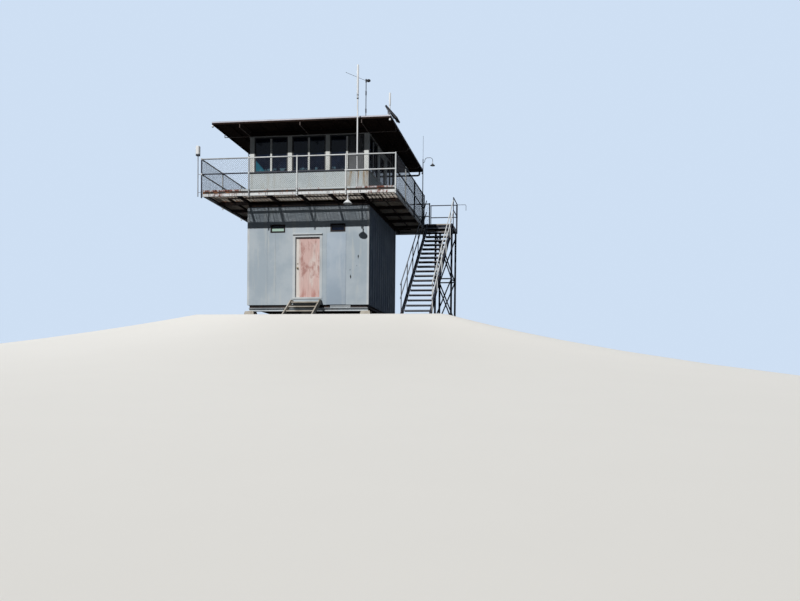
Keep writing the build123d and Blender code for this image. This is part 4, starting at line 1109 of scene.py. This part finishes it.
def cab_door_lever():
    """A round plate and a bent lever on both faces of the cab door."""
    recess = 0.0125
    y = 0.385
    z = deck_top + 1.0
    bm = bmesh.new()
    for side, face in ((-1, cab_inner + recess), (1, cab_half - recess)):
        root = (face, y, z)
        grip_x = face + side * 0.056
        grip = [(grip_x, y - 0.01, z), (grip_x, y - 0.11, z)]
        bent_rod(bm, [root, (face + side * 0.05, y, z), *grip], 0.009)
        bent_rod(bm, [root, (face + side * 0.008, y, z)], 0.03, 20)
    set_down("cab_door_lever", bm, "dull_brass", smooth=40)


def window_casings():
    """Dark strips round the two small windows of the front wall."""
    front = -room_half - 0.0135
    back = -room_half - 0.0104
    z = small_window[1]
    bm = bmesh.new()
    for x in (-small_window[0], small_window[0]):
        for low, high in border(0.26, 0.135, 0.044):
            slab(bm, (x + low[0], front, z + low[1]), (x + high[0], back, z + high[1]))
    set_down("window_casings", bm, "dark_beam")


def rail_fittings():
    """Round caps on the railing posts and collars where the middle rail meets them."""
    edge = 0.0262
    cap = ((0, 0.014), (0.012, 0.012), (0.021, 0.006), (edge, -0.004), (edge, -0.012), (0, -0.012))
    inner = 0.0242
    outer = 0.0272
    collar = ((inner, -0.03), (outer, -0.028), (outer, 0.028), (inner, 0.03), (inner, -0.03))
    bm = bmesh.new()
    for quarter, x in post_spots():
        centre = quarter_turn(quarter) @ Vector((x, -rail_line, 0))
        lathe(bm, cap, (centre.x, centre.y, rail_top + 0.024), 18)
        lathe(bm, collar, (centre.x, centre.y, rail_middle), 18)
    set_down("rail_fittings", bm, "rail_coat", smooth=40)


def head_trim():
    """A pale strip round the cab over the window heads."""
    low = cab_head - 0.008
    high = cab_head + 0.022
    reach = cab_half + 0.014
    bm = bmesh.new()
    for quarter in range(4):
        slab(bm, (-reach, -reach, low), (reach, -cab_half - hair, high), quarter)
    eased(bm, 0.002)
    set_down("head_trim", bm, "lead_flashing", smooth=30)


def door_lock():
    """The round lock over the knob, on both faces of the lower door."""
    door_gap = 0.005
    backset = 0.062
    x = -(hinge_x - door_gap - backset)
    z = door_floor + 1.15
    rows = (
        ("lock_roses", 0, 24, 0.024, 0.008, "dull_brass", "brass_knob"),
        ("lock_barrels", 0.007, 16, 0.013, 0.01, "dull_steel", "bare_steel"),
    )
    for name, proud, *rest in rows:
        outside = ((x, door_faces[0] - proud, z), frontward)
        inside = ((x, door_faces[1] + proud, z), (0, 1, 0))
        heads(name, (outside, inside), *rest, "ground_door")


def pale_floor():
    """A plain floor that is level round the tower and falls away beyond it."""
    flat_low = Vector((-3.5, -3.3))
    flat_high = Vector((4.9, 3.7))
    middle = (flat_low + flat_high) / 2
    half = (flat_high - flat_low) / 2
    drop = 4.6
    reach = 18.0
    steps = 96
    shares = (0.0, 0.5, 0.9, 1.0, 1.02)
    spreads = (0.3, 0.7, 1.2, 2, 3, 4.5, 6.5, 9, 12, 16, 21, 28, 38, 55, 85, 140, 220)
    bm = bmesh.new()
    rings = []
    for share, out in [(share, 0) for share in shares] + [(shares[-1], out) for out in spreads]:
        z = -drop * (1 - math.exp(-out / reach)) - 0.0005
        ring = []
        for way in map(Vector, round_steps(steps if share else 1)):
            rim = min(half.x / max(abs(way.x), 1e-6), half.y / max(abs(way.y), 1e-6))
            place = middle + way * (rim * share + out)
            ring.append(bm.verts.new((*place, z)))
        rings.append(ring)
    joined(bm, rings, steps)
    bmesh.ops.recalc_face_normals(bm, faces=bm.faces[:])
    mesh = bpy.data.meshes.new("hill_floor")
    bm.to_mesh(mesh)
    bm.free()
    mesh.materials.append(floor_tone())
    mesh.shade_smooth()
    floor = placed("hill_floor", mesh)
    if floor.data.polygons[0].normal.z < 0:
        floor.data.flip_normals()


def floor_tone():
    """A pale colour for the camera, and a dark one for the light that it throws back."""
    finish = Finish("pale_floor", (0, 0, 0))
    pale = Vector((0.78, 0.77, 0.74))
    shown = finish.mix((*pale, 1), (*pale * 0.97, 1), finish.noise(0.6, 3.0))
    seen = finish.add("ShaderNodeLightPath", output="Is Camera Ray")
    finish.colour = finish.mix((*pale * 0.05, 1), shown, seen)
    return finish.dress(Roughness=0.9)


def add_camera():
    """The camera of the photograph."""
    flat = math.cos(camera_pitch)
    forward = Vector(
        (math.sin(camera_yaw) * flat, math.cos(camera_yaw) * flat, math.sin(camera_pitch))
    )
    level_right = Vector((math.cos(camera_yaw), -math.sin(camera_yaw), 0))
    level_up = level_right.cross(forward)
    right = level_right * math.cos(camera_roll) + level_up * math.sin(camera_roll)
    up = level_up * math.cos(camera_roll) - level_right * math.sin(camera_roll)
    data = bpy.data.cameras.new("camera")
    data.sensor_width = 36
    data.lens = focal_pixels / image_width * data.sensor_width
    data.shift_x = (image_width / 2 - middle_pixel[0]) / image_width
    data.shift_y = (middle_pixel[1] - image_height / 2) / image_width
    data.clip_end = 1000
    camera = placed("camera", data)
    turn = Matrix((right, up, -forward)).transposed()
    camera.matrix_world = Matrix.Translation(camera_at) @ turn.to_4x4()
    bpy.context.scene.camera = camera


def add_sun(name, strength, spread, way, colour):
    """A sun that shines along a way, with soft edges as wide as its spread in degrees."""
    data = bpy.data.lights.new(name, "SUN")
    data.energy = strength
    data.angle = math.radians(spread)
    data.color = colour
    placed(name, data).rotation_euler = Vector(way).to_track_quat("-Z", "Y").to_euler()


def add_sky():
    """A dim blue sky, which the camera, metal and glass see as a pale backdrop."""
    world = bpy.data.worlds.new("even_sky")
    bpy.context.scene.world = world
    world.use_nodes = True
    sheet = Sheet(world.node_tree)
    world.node_tree.nodes.clear()
    seen = sheet.add("ShaderNodeLightPath", output="Is Camera Ray")
    for title in ("Is Glossy Ray", "Is Transmission Ray"):
        seen = seen.most(sheet.add("ShaderNodeLightPath", output=title))
    light = sheet.add("ShaderNodeBackground", {0: (0.56, 0.75, 1.0, 1.0), 1: 0.045})
    backdrop = sheet.add("ShaderNodeBackground", {0: (0.62, 0.74, 0.90, 1.0), 1: 1.0})
    both = sheet.add("ShaderNodeMixShader", {0: seen, 1: light, 2: backdrop})
    end = world.node_tree.nodes.new("ShaderNodeOutputWorld")
    world.node_tree.links.new(both.socket, end.inputs[0])


bpy.context.scene.view_settings.view_transform = "Standard"
add_camera()
add_sun("sun", 3.9, 0.7, (0.173, 0.77, -0.578), (1.0, 0.98, 0.95))
add_sun("fill", 0.8, 40, (0.35, -0.85, -0.4), (1.0, 1.0, 1.0))
add_sky()
pale_floor()
railing_mesh()
grating_infill()
post_clamps()
channel_bolts()
wall_screws()
patch_panel()
roof_trim()
soffit_boards()
lamp_parts()
mast_bands()
antenna_tubes()
grating_bearers()
panel_frame()
stair_detail()
anchor_bolts()
hinge_screws()
cab_door_lever()
window_casings()
rail_fittings()
head_trim()
door_lock()
